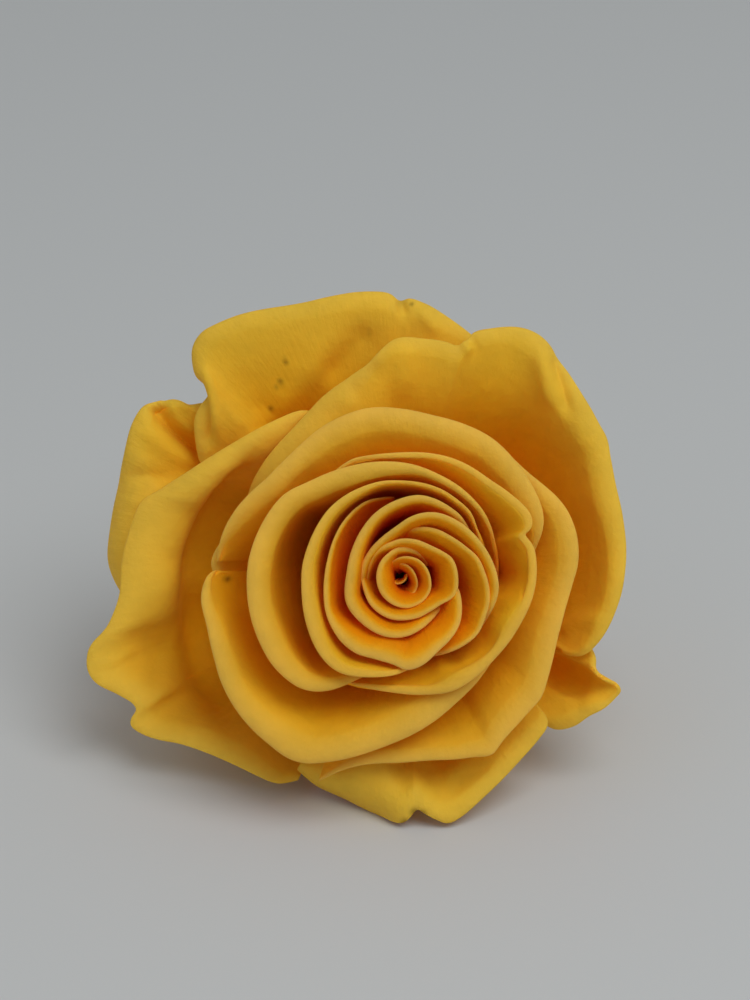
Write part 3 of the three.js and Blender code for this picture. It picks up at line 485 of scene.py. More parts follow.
# Each petal is its free margin, `rim`, as (x, y, h), and how the blade comes to it. A value
# that changes along the margin is a list of (place 0 to 1, value).
HEART = [
    dict(rim=[(-0.8, -1, 31.2), (-0.4, -1.3, 31.6), (0.2, -1.2, 31.7), (0.7, -0.8, 31.5),
              (0.9, -0.1, 30.9)],
         centre=(0.4, -0.4), foot=(0.4, 28), lean=70, roll=(0.1, 70), columns=20, rows=(8, 3)),
    dict(rim=[(-0.5, 1.1, 31.6), (0.1, 1.1, 32.3), (0.8, 0.9, 32.7), (1.4, 0.4, 32.8),
              (1.8, -0.3, 32.8), (2, -1.2, 32.6), (1.8, -2, 32.3), (1.2, -2.6, 31.9),
              (0.4, -2.8, 31.4), (-0.3, -2.6, 30.6)],
         centre=(0.3, -0.6), foot=(0.4, 28), lean=62, roll=(0.16, 84), columns=44, rows=(10, 4)),
    dict(rim=[(-1.2, 0.9, 31.8), (-0.5, 1.5, 32.9), (0.2, 1.8, 33.4), (1.2, 1.8, 33.7),
              (2.2, 1.4, 33.8), (3, 0.5, 33.9), (3.4, -0.6, 33.9), (3.4, -1.8, 33.9),
              (2.8, -2.9, 33.9), (1.8, -3.6, 33.9), (0.6, -3.9, 33.9), (-0.8, -3.5, 34),
              (-1.9, -2.6, 34.1), (-2.5, -1.4, 34.2), (-2.6, -0.1, 34.2), (-2.2, 1.2, 34.1),
              (-1.3, 2.2, 34), (-0.3, 2.8, 33.8), (0.9, 2.8, 33.6), (1.9, 2.4, 33.2), (2.7, 1.7, 32.2),
              (3.2, 0.8, 30.6)],
         centre=(0.3, -0.7), foot=(0.3, 27.5),
         lean=[(0, 62), (0.25, 64), (0.45, 52), (0.62, 44), (0.78, 74), (1, 80)],
         roll=([(0, 0.14), (0.3, 0.2), (0.6, 0.5), (0.75, 0.3), (1, 0.16)],
               [(0, 90), (0.4, 84), (0.62, 90), (0.8, 110), (1, 100)]),
         columns=110, rows=(12, 5)),
    dict(rim=[(-4.2, 1, 31), (-4.3, -0.4, 32.6), (-4, -2, 33.8), (-3.4, -3.4, 34.3),
              (-2.4, -4.4, 34.5), (-1, -5.1, 34.6), (0.6, -5.2, 34.7), (2.1, -4.9, 34.8),
              (3.4, -4.2, 34.9), (4.6, -3.4, 35), (5.7, -2.8, 35), (6.3, -1.9, 35.1),
              (6.4, -0.7, 35.1), (6.2, 0.7, 35.1), (5.7, 1.7, 35), (4.7, 2.4, 34.9), (3.3, 3.1, 34.8),
              (1.8, 3.7, 34.7), (0.1, 3.8, 34.5), (-1.4, 3.3, 34.3), (-2.7, 2.6, 34),
              (-3.4, 1.4, 33.4), (-3.7, 0, 32.4), (-3.7, -1.4, 31)],
         centre=(0.4, -0.8), foot=(0.5, 24),
         lean=[(0, 80), (0.25, 62), (0.5, 42), (0.75, 66), (1, 80)],
         roll=([(0, 0.2), (0.25, 0.5), (0.5, 0.5), (0.8, 0.4), (1, 0.2)],
               [(0, 100), (0.25, 90), (0.5, 66), (0.75, 90), (1, 100)]),
         columns=96, rows=(10, 5)),
    dict(rim=[(0.2, 4.4, 32), (1.3, 4.9, 33.6), (2.7, 5.1, 34.6), (4.2, 4.8, 35.2), (5.9, 3.9, 35.6),
              (7.3, 2.9, 35.8), (8.6, 1.7, 35.9), (9.3, 0.2, 35.9), (9.8, -1.6, 35.9),
              (9.8, -3.3, 35.9), (9.3, -5, 35.8), (8.6, -6.6, 35.6), (7.4, -7.7, 35.4),
              (6, -8.5, 34.9), (4.6, -9, 34), (3.2, -9.3, 32.6), (1.8, -9.4, 31)],
         centre=(0.3, -0.5), foot=(0.5, 23), lean=48, roll=(0.5, 70), columns=64, rows=(10, 5)),
    dict(rim=[(-3.6, -3, 30), (-4.3, -1.7, 32), (-4.4, -0.2, 33.4), (-4.1, 1.3, 34), (-3.2, 2.8, 34.4),
              (-2, 4, 34.8), (-0.4, 5.2, 35.3), (1.1, 6.2, 35.7), (2.8, 6.7, 36), (4.4, 6.6, 36.1),
              (6.1, 5.9, 36.2), (7.6, 4.8, 36.3), (8.9, 3.4, 36.3), (9.9, 1.8, 36.3), (10.6, 0, 36.3),
              (10.8, -1.8, 36.2), (10.4, -3.4, 35.8), (9.7, -4.8, 34.8), (9, -6, 33.2),
              (8.2, -7, 31.4), (7.2, -7.8, 29.6)],
         centre=(0.3, -0.5), foot=(0.6, 22), lean=[(0, 80), (0.35, 62), (0.6, 52), (1, 52)],
         roll=([(0, 0.3), (0.4, 0.6), (0.8, 0.5), (1, 0.3)], [(0, 100), (0.5, 80), (1, 80)]),
         columns=80, rows=(10, 5)),
    dict(rim=[(5.8, -2.2, 29), (5.2, -3.2, 31.4), (4.3, -4.3, 33.4), (3.4, -5.3, 34.5),
              (2.3, -6.2, 35.1), (0.9, -6.9, 35.4), (-0.8, -7.1, 35.6), (-2.4, -6.7, 35.7),
              (-4, -5.7, 35.8), (-5.3, -4.4, 35.9), (-6, -3.1, 35.9), (-6.1, -1.6, 35.9),
              (-5.9, 0, 35.9), (-5.6, 1.7, 35.9), (-5, 3.4, 35.9), (-4.2, 4.9, 35.9), (-3, 6.4, 35.9),
              (-1.7, 7.4, 35.8), (0, 8.2, 35.8), (2, 8.6, 35.7), (3.8, 8.2, 35.5), (5.3, 7.4, 35.3),
              (6.6, 6.4, 34.9), (7.5, 5.1, 33.8), (8.2, 3.8, 32.2), (8.6, 2.4, 30.2)],
         centre=(0.3, -0.2), foot=(0.66, 22), lean=[(0, 60), (0.2, 58), (0.45, 80), (1, 76)],
         roll=([(0, 0.3), (0.2, 0.6), (0.4, 0.8), (0.7, 0.55), (1, 0.3)],
               [(0, 90), (0.2, 90), (0.45, 124), (1, 110)]),
         columns=96, rows=(10, 6)),
    dict(rim=[(4.4, 1.2, 30), (5.3, 0.1, 31.8), (6, -1, 33.4), (6.6, -2.2, 34.8), (6.8, -3.6, 35.3),
              (6.7, -5, 35.7), (6.2, -6.3, 36), (5.2, -7.6, 36.2), (4.1, -8.6, 36.3),
              (3.1, -9.6, 36.4), (2, -10.3, 36.4), (0.7, -10.6, 36.3), (-0.8, -10, 36.2),
              (-2.8, -9.4, 36.2), (-4.8, -8.8, 36.2), (-6.4, -7.6, 36.1), (-7.5, -6, 36),
              (-8.2, -4.2, 35.9), (-8.4, -2.2, 35.8), (-8.3, -0.2, 35.6), (-7.9, 1.9, 35.4),
              (-7.3, 3.8, 35.2), (-6.4, 5.5, 34.8), (-5.2, 6.9, 34.2), (-3.8, 7.9, 33.2),
              (-2.2, 8.3, 31.8), (-0.6, 8.4, 30)],
         centre=(0.3, -0.8), foot=(0.62, 22),
         lean=[(0, 46), (0.2, 42), (0.38, 34), (0.5, 44), (0.62, 70), (1, 80)],
         roll=([(0, 0.4), (0.2, 0.9), (0.36, 2.0), (0.5, 1.5), (0.62, 0.5), (0.8, 0.25), (1, 0.2)],
               [(0, 66), (0.38, 54), (0.5, 66), (0.62, 96), (1, 96)]),
         columns=104, rows=(10, 6)),
]

CORE_PETALS = 2
CORE_THICKNESS = 0.5 * PETAL_THICKNESS
HEART_THICKNESS = 0.8 * PETAL_THICKNESS
heart_parts = []
for k, shape in enumerate(HEART):
    heart_sheet = petal_sheet(**shape)
    nest(heart_sheet)
    thickness = CORE_THICKNESS if k < CORE_PETALS else HEART_THICKNESS
    heart_parts.append(solid_petal(f"heart_part_{k}", heart_sheet, heart_velvet_painted_shade, thickness))
bpy.ops.object.select_all(action="DESELECT")
for part in heart_parts:
    part.select_set(True)
bpy.context.view_layer.objects.active = heart_parts[0]
bpy.ops.object.join()
heart = bpy.context.object
heart.name = "heart_coil_and_petals"
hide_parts("heart_petals")
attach(heart, "root")


# ---- the cup and the middle petals ----
# Half-open petals that stand round the heart, each with its margin rolled over outward. They
# grow from the receptacle one outside the other, and the roll keeps each clear of the next.
# Red-orange at the foot is painted shade of the deep gaps between petals; the pale margin stops are
# partly painted highlight.
inner_velvet_painted_shade = petal_velvet_with_painted_shade("preserved petal, inner, painted shade",
                            [(0, "#ee4600"), (0.18, "#fb8e00"), (0.38, "#fdbe00"),
                             (0.68, "#fdc820"), (0.84, "#f9c83e"), (1, "#fdd258")])


def mark_wear(blade, spots):
    """Gives a blade its brown specks, each (x, y, radius, strength) on the open face."""
    points = np.array([v.co for v in blade.data.vertices])
    face = ((points - ORIGIN) @ AXES.T / MM)[:, :2]
    worn = np.zeros(len(points))
    for x, y, radius, strength in spots:
        away = np.linalg.norm(face - [x, y], axis=1) / radius
        worn = np.maximum(worn, strength * np.exp(-away**2))
    layer = blade.data.attributes.new("wear", "FLOAT", "POINT")
    layer.data.foreach_set("value", worn)


WAVES = ((9, 0.25), (3, 0.08))


def grow(node, velvet, slot, columns, rows, folds=(), spots=(), **shape):
    """One petal of the bloom: drawn, folded, nested outside the last, and made solid.

    It settles as a coarse sheet, and a smooth finer one through that takes the detail."""
    sheet = petal_sheet(columns=columns // 2, rows=(rows[0] // 2, rows[1] // 2), **shape)
    settle(sheet)
    fine = np.einsum("ac,cde->ade", spline_weights(sheet.shape[0], columns + 1), sheet)
    fine = np.einsum("bd,ade->abe", spline_weights(sheet.shape[1], sum(rows) + 1), fine)
    fine = fold(fine, folds)
    for size, height in WAVES:
        fine = ripple(fine, size, height, seed=len(nested))
    settle(fine, passes=6, clear=PETAL_THICKNESS)
    nest(fine)
    piece = solid_petal(node + "_blade", fine, velvet)
    mark_wear(piece, spots)
    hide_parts(node)
    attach(piece, "root")


MIDDLE = [
    dict(node="petal_inner_cup", columns=100, rows=(18, 8), root=(10, 262, 2.9), rise=70,
         lean=[(0, 76), (0.3, 86), (0.6, 84), (0.85, 74), (1, 70)],
         roll=([(0, 0.2), (0.3, 0.3), (0.45, 0.7), (0.7, 1.1), (0.9, 0.7), (1, 0.4)],
               [(0, 90), (0.3, 100), (0.5, 112), (1, 104)]),
         rim=[(9.5, 0.2, 29), (9.4, 1.8, 31.2), (9, 3.4, 33.2), (8.4, 5.2, 34.4), (7.8, 6.7, 34.9),
              (6.4, 8, 35.2), (4.8, 9.1, 35.3), (2.6, 9.9, 35.4), (0, 10.2, 35.5), (-2.2, 10.1, 35.7),
              (-4.4, 9.4, 36), (-6.3, 8.4, 36.4), (-7.9, 7, 36.7), (-9.2, 5.1, 36.8),
              (-10.1, 3.1, 36.8), (-10.7, 0.9, 36.8), (-10.8, -1.6, 36.8), (-10.6, -3.9, 36.8),
              (-10.1, -6.1, 36.8), (-9.3, -8.1, 36.8), (-8.1, -9.8, 36.8), (-6.6, -10.9, 36.7),
              (-4.7, -11.3, 36.6), (-2.7, -11.3, 36.5), (-0.9, -11.1, 36.2), (0.4, -10.7, 35.2),
              (1.6, -10, 33.6), (2.6, -9.2, 31.6)]),
    dict(node="petal_mid_left", columns=116, rows=(20, 8), root=(38, 232, 3.9), rise=62,
         lean=[(0, 60), (0.3, 74), (0.55, 88), (0.75, 82), (1, 70)],
         roll=([(0, 0.6), (0.25, 1.1), (0.5, 1.6), (0.75, 1.7), (0.9, 1.2), (1, 0.6)],
               [(0, 80), (0.3, 100), (0.5, 120), (1, 110)]),
         rim=[(10.9, -0.8, 28.4), (10.9, 1.2, 30.4), (10.6, 3.2, 32.4), (10.1, 5, 34), (9.2, 6.7, 35),
              (7.9, 8.2, 35.6), (6.3, 9.6, 35.9), (4.3, 10.8, 36.1), (2, 11.8, 36.2),
              (-0.2, 12.2, 36.2), (-2.7, 12.2, 36.2), (-5.2, 11.8, 36.2), (-7.9, 11, 36.2),
              (-10.2, 10, 36.2), (-12.6, 8.8, 36.2), (-14.3, 6.9, 36.2), (-15.7, 4.4, 36.2),
              (-16.6, 1.4, 36.2), (-16.8, -1.6, 36.2), (-16.4, -4.7, 36.2), (-15.4, -7.6, 36.1),
              (-14, -10.1, 35.9), (-12.4, -11.7, 35.6), (-10.8, -12.7, 35.4), (-8.9, -13, 35.1),
              (-7.1, -12.7, 34.6), (-5.7, -12.1, 33.8), (-4.2, -11.4, 32.6), (-2.4, -10.9, 30.8)]),
    dict(node="petal_mid_right", columns=150, rows=(18, 8), root=(112, -116, 4.9), rise=56,
         nicked=0.03, lean=[(0, 62), (0.3, 58), (0.6, 50), (1, 48)],
         roll=([(0, 0.5), (0.2, 0.8), (0.5, 1.0), (0.75, 1.6), (1, 0.8)], 84),
         rim=[(-9.4, 8.6, 31), (-8.3, 10.1, 33), (-7, 11.4, 34.4), (-5.2, 12.6, 35), (-3.2, 13, 35.4),
              (-1.1, 13.2, 35.6), (1.1, 13.3, 35.8), (3.3, 13.2, 35.8), (5.6, 12.7, 35.8),
              (7.8, 11.7, 35.8), (10, 10.2, 35.7), (12, 8.8, 35.6), (14.1, 6.8, 35.5),
              (14.5, 5.6, 35.5), (14.2, 4.7, 35.5), (13.6, 4.2, 35.4), (14.1, 3.7, 35.4),
              (14.7, 2.8, 35.5), (15, 0.3, 35.6), (14.8, -1.7, 35.7), (14.2, -3.6, 35.8),
              (13.3, -5.4, 35.8), (12.1, -7.3, 35.8), (10.6, -9.2, 35.8), (8.9, -10.9, 35.7),
              (7.2, -12.2, 35.6), (5.3, -13.1, 35.4), (3.3, -13.4, 35.2), (1.2, -13.4, 34.9),
              (-0.7, -13.2, 34.6), (-2.3, -12.9, 34.2), (-4, -12.4, 33.4), (-5.6, -12, 32),
              (-7, -11.4, 30.2)]),
]
for shape in MIDDLE:
    grow(velvet=inner_velvet_painted_shade, slot="inner_petals", **shape)


# ---- the outer cup ----
# Four broad petals that have opened to a cup. They dried with their margins fallen back in
# wide soft lips.
OUTER = [
    dict(node="petal_outer_top", columns=100, rows=(22, 8), root=(146, 12, 5.9), rise=52,
         lean=[(0, 54), (0.2, 50), (0.5, 42), (0.75, 46), (1, 56)],
         roll=([(0, 1.2), (0.2, 2.2), (0.6, 2.4), (0.8, 2.0), (1, 1.2)], 80),
         rim=[(-20.4, 1.2, 29.4), (-20, 3.4, 31), (-19.2, 5.4, 32.2), (-18, 7.3, 33), (-16.4, 9, 33.6),
              (-14.7, 10.5, 34), (-12.9, 12.3, 34.2), (-11.1, 14, 34.2), (-8.9, 15.9, 34.3),
              (-6, 17.4, 34.3), (-3.3, 18.2, 34.2), (0, 18.2, 34.2), (4.2, 17.3, 34.1),
              (7.8, 16.1, 34), (10.2, 14.8, 34), (12.3, 12.8, 34), (14.4, 9.9, 34), (15.6, 7.4, 33.9),
              (15.9, 5.9, 33.7), (15.7, 4.3, 33.2), (15.1, 2.8, 32.2), (14.4, 1.2, 30.6)]),
    dict(node="petal_outer_bottom", columns=110, rows=(22, 8), root=(183, 304, 5.9), rise=46,
         lean=[(0, 70), (0.2, 66), (0.45, 50), (1, 50)],
         roll=([(0, 0.8), (0.12, 1.1), (0.3, 1.9), (0.5, 2.8), (0.8, 3.0), (1, 1.6)],
               [(0, 96), (0.3, 90), (0.5, 80), (1, 80)]),
         rim=[(-19.1, 0, 29.4), (-20.3, -0.1, 31.6), (-21.3, -0.8, 33), (-21.8, -1.9, 33.6),
              (-21.9, -3.3, 33.8), (-21.4, -5.4, 33.9), (-20.7, -8.6, 33.9), (-19.8, -11.9, 33.9),
              (-18.4, -14.7, 33.9), (-16.6, -17, 33.9), (-14.4, -19, 33.9), (-12.8, -20.2, 33.9),
              (-11, -20.9, 33.9), (-7.8, -20.8, 33.9), (-4.4, -20.1, 33.9), (-1.1, -19, 33.9),
              (1.7, -17.7, 33.9), (4.4, -15.9, 33.8), (6.7, -13.9, 33.5), (8.6, -12, 32.8),
              (9.9, -10.3, 31.4), (10.9, -8.8, 29.6)],
         spots=[(-19.2, -0.8, 0.35, 0.75), (-21.6, -1.4, 0.5, 0.2)]),
    dict(node="petal_outer_left", columns=64, rows=(22, 8), root=(128, 184, 6.9), rise=40, lean=52,
         roll=(2.0, 84),
         rim=[(-12, 11, 25.4), (-14, 9.8, 27), (-16, 8.2, 28.2), (-17.7, 6.3, 28.8), (-19, 4.4, 29),
              (-20, 2.6, 28.9), (-20.6, 0.8, 28.4), (-20.4, -1.1, 27)]),
    dict(node="petal_outer_right", columns=106, rows=(24, 8), root=(44, -112, 6.9), rise=38,
         lean=44, roll=([(0, 1.6), (0.3, 2.2), (0.6, 2.6), (0.75, 1.4), (1, 1.6)], 70),
         rim=[(11.8, 13.4, 29.4), (12.8, 12.4, 31), (14.1, 11.1, 32), (15.7, 9.8, 32.4),
              (17.1, 8.6, 32.6), (18.3, 7.2, 32.7), (19.1, 5.6, 32.7), (19.6, 3.7, 32.7),
              (19.7, 1.2, 32.6), (19.2, -0.9, 32.5), (18.6, -3, 32.4), (18, -5.2, 32.3),
              (17.4, -7.4, 32.2), (16.9, -9.7, 32.2), (16.3, -12, 32.2), (15.7, -13.8, 32.2),
              (14.4, -15.3, 32.1), (12.9, -17, 32), (11.3, -18.8, 32), (10.1, -20.3, 31.9),
              (8.7, -20.4, 31.8), (6.1, -20.7, 31.7), (3.3, -20.8, 31.5), (0, -21.1, 31.2),
              (-3.6, -21.3, 30.8), (-6.1, -21.9, 30.2), (-7.8, -22.7, 29.4), (-9.1, -23.4, 28.2)]),
]
for shape in OUTER:
    grow(velvet=inner_velvet_painted_shade, slot="inner_petals", **shape)


# ---- the guard petals ----
# The outermost six lie wide open and make the outline. They are the oldest and most worn:
# creased, pleated at the margin, and nicked where they were handled.
# Orange at the foot is painted shade of the grooves near the cup; the pale margin stops are partly
# painted highlight.
guard_velvet_painted_shade = petal_velvet_with_painted_shade("preserved petal, guard, painted shade",
                            [(0, "#ee4600"), (0.16, "#fb9400"), (0.32, "#fdbe00"),
                             (0.6, "#fdca24"), (0.84, "#fdd23e"), (1, "#fdd64c")])

GUARDS = [
    dict(node="guard_top_right", columns=170, rows=(30, 10), root=(152, -24, 8.0), nicked=0.03,
         rise=[(0, 38), (0.3, 60), (0.5, 60), (0.65, 40), (1, 32)],
         lean=[(0, 42), (0.15, 26), (0.34, 10), (0.5, 14), (0.62, 56), (0.8, 64), (1, 60)],
         roll=([(0, 3.0), (0.2, 4.6), (0.34, 3.6), (0.5, 3.4), (0.6, 2.6), (0.74, 1.9),
                (0.86, 1.3), (1, 1.4)],
               [(0, 60), (0.2, 62), (0.34, 34), (0.5, 44), (0.62, 96), (0.8, 104), (1, 96)]),
         rim=[(-16.4, 4.8, 17), (-17.2, 6.8, 19.4), (-17, 9.2, 21.8), (-15.5, 12, 24),
              (-13.4, 14.6, 25.4), (-11.2, 17, 26.4), (-9, 19.4, 27), (-5.7, 21.9, 27.6),
              (-3.3, 23.7, 27.9), (-0.9, 25.9, 28), (0.6, 26.3, 27.9), (2.8, 26.1, 27.6),
              (5.2, 25.8, 27.2), (6.6, 25.3, 27), (7.3, 25.6, 27), (8.2, 26.8, 26.9),
              (10.1, 27.3, 26.6), (12.3, 27.5, 26.6), (14, 27.3, 26.6), (15.8, 26.4, 26.7),
              (17.2, 24.9, 26.8), (18.6, 23, 26.8), (20.3, 20.2, 26.8), (21.6, 18.1, 26.8),
              (22.5, 16.4, 26.8), (23.3, 14.9, 26.8), (23.6, 13, 26.8), (24.1, 10.4, 26.8),
              (25, 6.6, 26.8), (25.4, 3.8, 26.8), (25.4, 1.4, 26.8), (24.9, -2.6, 26.8),
              (23.8, -5.6, 26.6), (22.4, -7.9, 26.2), (20.6, -9.4, 25.2), (18.8, -9.2, 23.6)],
         folds=[(0.7, 0.9, [(15.4, 25.4), (16.3, 22.8), (16.9, 20.4), (17.1, 18.2)]),
                (-0.9, 0.8, [(16.8, 25.2), (17.9, 22.0), (18.6, 19.2), (19.2, 16.8)]),
                (0.5, 0.35, [(6.7, 26.0), (7.6, 25.2), (8.2, 24.2)]),
                (-0.5, 0.4, [(7.6, 26.4), (8.3, 25.4), (8.6, 24.2)]),
                (0.5, 1.2, [(0.2, 25.8), (0.4, 22.4), (-0.6, 19.8)]),
                (-0.6, 1.6, [(-2.4, 24.0), (-3.6, 21.4), (-6.0, 19.0)]),
                (0.25, 0.4, [(9.4, 20.6), (9.9, 20.0)]),
                (0.5, 0.7, [(23.0, -4.6), (20.6, -5.8), (17.8, -7.0)])]),
    dict(node="guard_bottom", columns=90, rows=(28, 8), root=(-48, -112, 9.0), rise=24, lean=36,
         nicked=0.04,
         roll=([(0, 1.6), (0.3, 2.2), (0.56, 2.6), (0.75, 4.6), (1, 4.0)],
               [(0, 70), (0.4, 66), (0.56, 66), (0.75, 112), (1, 116)]),
         rim=[(15.2, -15, 25), (16.6, -17, 26.2), (15.8, -18.5, 27), (13.5, -21.1, 27.6),
              (11.3, -23.4, 28.2), (9, -25.6, 28.8), (6.9, -27.4, 29), (5.4, -28.1, 29.2),
              (4.2, -27.7, 29.4), (2.9, -27, 29.6), (2, -26.4, 29.7), (1.4, -27, 29.8),
              (0.4, -28, 29.7), (-2.2, -27.3, 28.9), (-5.6, -25.9, 27.8), (-9.2, -24.2, 26),
              (-11.6, -22.4, 24.2)],
         folds=[(0.6, 0.5, [(4.4, -23.2), (6.4, -22.2), (7.8, -21.4), (9.2, -20.4)]),
                (-0.5, 0.5, [(1.6, -21.2), (2.8, -22.2), (3.9, -23.8)]),
                (-0.5, 0.7, [(5.0, -24.4), (8.0, -22.6), (10.6, -20.6)]),
                (-0.5, 1.6, [(-5.0, -21.6), (-1.0, -22.6), (1.6, -24.6)])],
         spots=[(0.6, -28.0, 0.5, 0.8), (1.6, -26.6, 0.5, 0.6), (2.6, -26.8, 0.4, 0.5)]),
    dict(node="guard_lower_left", columns=136, rows=(32, 9), root=(124, 246, 9.0), rise=26,
         nicked=0.08, lean=[(0, 74), (0.2, 73), (0.36, 64), (0.5, 54), (0.7, 50), (1, 56)],
         roll=([(0, 2.0), (0.2, 3.6), (0.36, 4.6), (0.5, 5.0), (0.75, 3.4), (1, 2.2)],
               [(0, 100), (0.2, 122), (0.36, 100), (0.5, 74), (0.7, 60), (1, 70)]),
         rim=[(-9.2, 18, 22.6), (-11.2, 18.2, 23.6), (-14.6, 16.5, 24.8), (-16.9, 15.2, 25),
              (-21.1, 13, 24.8), (-25.4, 10.4, 24.2), (-27.1, 9.3, 23.8), (-29.3, 7.9, 23.2),
              (-30.6, 4.8, 23), (-31.5, 1.4, 22.8), (-31.8, -2.8, 22.6), (-33.4, -6.6, 22.2),
              (-34.6, -7.8, 22), (-35.4, -9.2, 21.8), (-35.4, -11.4, 21.6), (-34.3, -12.9, 21.6),
              (-32.1, -14, 21.6), (-29.8, -15.6, 21.8), (-30.7, -17.2, 21.6), (-29.8, -18.2, 21.5),
              (-27.6, -19.1, 22), (-24.8, -19.6, 22.6), (-21.4, -20.7, 23.4), (-18.1, -22.1, 24),
              (-15.6, -23.3, 24), (-13.8, -24, 23.6), (-11.4, -23.6, 22.8)],
         folds=[(-2.4, 2.4, [(-15, 13.4), (-20.2, 4.8), (-22.8, -3), (-22.6, -9.7),
                             (-20.4, -14.3), (-16.4, -18.8)]),
                (-1.5, 1.8, [(-14.0, 13.6), (-18.6, 8.2), (-21.0, 3.2), (-22.2, -3.0)]),
                (-0.3, 1.0, [(-27.6, -6.8), (-27.9, -11.0), (-28.0, -15.2)], (0.4, 0.1)),
                (0.6, 1.6, [(-25.6, 2.0), (-26.0, -4.0), (-25.4, -10.0)]),
                (0.3, 0.5, [(-29.6, -8.4), (-32.4, -10.2), (-35.0, -10.6)])]),
    dict(node="guard_lower_right", columns=64, rows=(26, 8), root=(-18, -50, 10.0), rise=22,
         nicked=0.05, lean=[(0, 56), (0.3, 40), (0.6, 36), (1, 44)],
         roll=([(0, 2.6), (0.25, 1.6), (0.45, 0.8), (0.7, 1.8), (1, 1.6)],
               [(0, 110), (0.3, 90), (0.5, 60), (1, 84)]),
         rim=[(17, -6.4, 23.4), (18.6, -7.4, 24.8), (20.4, -9, 25.6), (21.6, -10.6, 25.8),
              (23.1, -12.1, 25.6), (25, -13.2, 25.2), (24.2, -14.4, 24.8), (23.1, -15.4, 24.8),
              (21.4, -16.3, 24.4), (19.9, -17.4, 23.8), (17.7, -17.9, 22.8), (16.2, -16.9, 22),
              (15, -16, 20.4)],
         folds=[(-1.6, 1.9, [(16.4, -10.6), (18.8, -12.4), (21.8, -13)]),
                (0.3, 0.5, [(16.8, -14.6), (19.6, -14.4), (22.4, -14.2)])]),
    dict(node="guard_top_back", columns=114, rows=(32, 9), root=(146, 76, 10.0), nicked=0.04,
         rise=[(0, 50), (0.3, 66), (1, 66)], lean=[(0, 26), (0.2, 12), (0.4, 8), (1, 8)],
         roll=([(0, 2.6), (0.3, 3.2), (1, 3.4)], [(0, 84), (0.2, 74), (0.35, 46), (1, 46)]),
         rim=[(-22.8, 12.4, 17.4), (-23.3, 14.6, 18.6), (-23.5, 17, 19.8), (-23, 19.2, 20.8),
              (-22.6, 21, 21.3), (-23.3, 22.6, 21.4), (-23.5, 25.4, 21.4), (-22.5, 27.1, 21.6),
              (-20.9, 28, 21.8), (-18.1, 29.1, 22), (-14.7, 29.8, 22.2), (-11.3, 30.4, 22.4),
              (-7.9, 31.2, 22.6), (-4.5, 31.7, 22.8), (-1.4, 31.6, 23), (0, 31, 22.9), (1.4, 30.9, 23),
              (4.5, 29.4, 23), (6.8, 27.8, 22.8), (9, 26, 22.2)],
         folds=[(-0.7, 0.5, [(0.1, 31.4), (0.4, 29.8), (0.8, 28.2)], (0.02, 0.5)),
                (0.5, 0.9, [(2, 29.8), (3.6, 28), (4, 26.4)]),
                (-1.0, 1.7, [(-3.6, 28.4), (-4.4, 25.8), (-6.4, 23.6), (-9.0, 21.4)]),
                (0.6, 1.4, [(-7.0, 26.8), (-9.4, 23.6), (-12.4, 20.2), (-16.0, 17.4)]),
                (0.7, 0.5, [(-22.2, 23.4), (-21.4, 20.8), (-20.9, 17.8), (-20.6, 13.8)]),
                (-1.3, 0.8, [(-22.9, 22.2), (-22.4, 19.8), (-22.0, 16.8), (-21.7, 13.4)]),
                (0.3, 0.35, [(-18.6, 16.4), (-15.6, 17.2), (-12.6, 18.8)]),
                (-0.3, 0.3, [(-18.4, 15.6), (-15.4, 16.4), (-12.4, 18.0)]),
                (0.3, 0.3, [(-17.8, 14.8), (-15.0, 15.6), (-12.6, 17.0)]),
                (-0.25, 0.3, [(-17.4, 18.6), (-15.2, 18.8), (-13.4, 20.0)])],
         spots=[(-12.9, 23.8, 0.3, 0.7), (-13.5, 21.4, 0.3, 0.75), (-14.6, 18.4, 0.3, 0.6),
                (1.4, 30.2, 0.25, 0.6), (-3.4, 27.0, 0.3, 0.2), (0.2, 30.4, 0.5, 0.25),
                (-14.0, 20.9, 0.25, 0.35)]),
    dict(node="guard_left", columns=92, rows=(30, 8), root=(138, 186, 11.0), rise=30, nicked=0.05,
         lean=[(0, 20), (0.42, 22), (0.62, 40), (1, 52)],
         roll=([(0, 1.6), (0.38, 2.4), (0.62, 4.8), (1, 7.0)],
               [(0, 50), (0.42, 60), (0.62, 114), (1, 134)]),
         rim=[(-21, 18.6, 14.6), (-22.4, 19.2, 16), (-24.3, 19, 17), (-25.4, 19.5, 17.3),
              (-26.8, 19.6, 17.5), (-28.2, 19.4, 17.6), (-29.4, 18.8, 17.8), (-30.5, 17, 18),
              (-31.4, 13.9, 18), (-32.5, 9.4, 18), (-33.2, 6, 18), (-33.6, 1.4, 18), (-33, -0.9, 17.6),
              (-31.9, -3, 16.6)],
         folds=[(-2.1, 0.9, [(-28, 19.2), (-26.2, 16.6), (-23.8, 14.4), (-21.6, 12.8)], (0.1, 0.1)),
                (0.7, 0.7, [(-26.6, 18.4), (-24.9, 16.6), (-23.4, 15.6)], (0.1, 0.3)),
                (0.7, 1, [(-29.6, 17.4), (-27.4, 14.4), (-24.6, 12.6), (-22.4, 11.8)]),
                (-0.7, 1.0, [(-31.4, 10.6), (-28.4, 10.8), (-25.6, 10.4)]),
                (0.4, 0.8, [(-31.8, 7.4), (-29.4, 8.0), (-27.0, 9.0)])]),
]
for shape in GUARDS:
    grow(velvet=guard_velvet_painted_shade, slot="guard_petals", **shape)


# ---- the sepals ----
# Five small pointed green leaves under the guard petals. Preserving dulls them to olive, and
# they stay leathery and slightly cupped.
SEPALS = 5
SEPAL_LENGTH = 10.5
SEPAL_THICKNESS = 0.5
SEPAL_SPREAD = 24
SEPAL_ROOT = 12.2
FIRST_SEPAL = 18


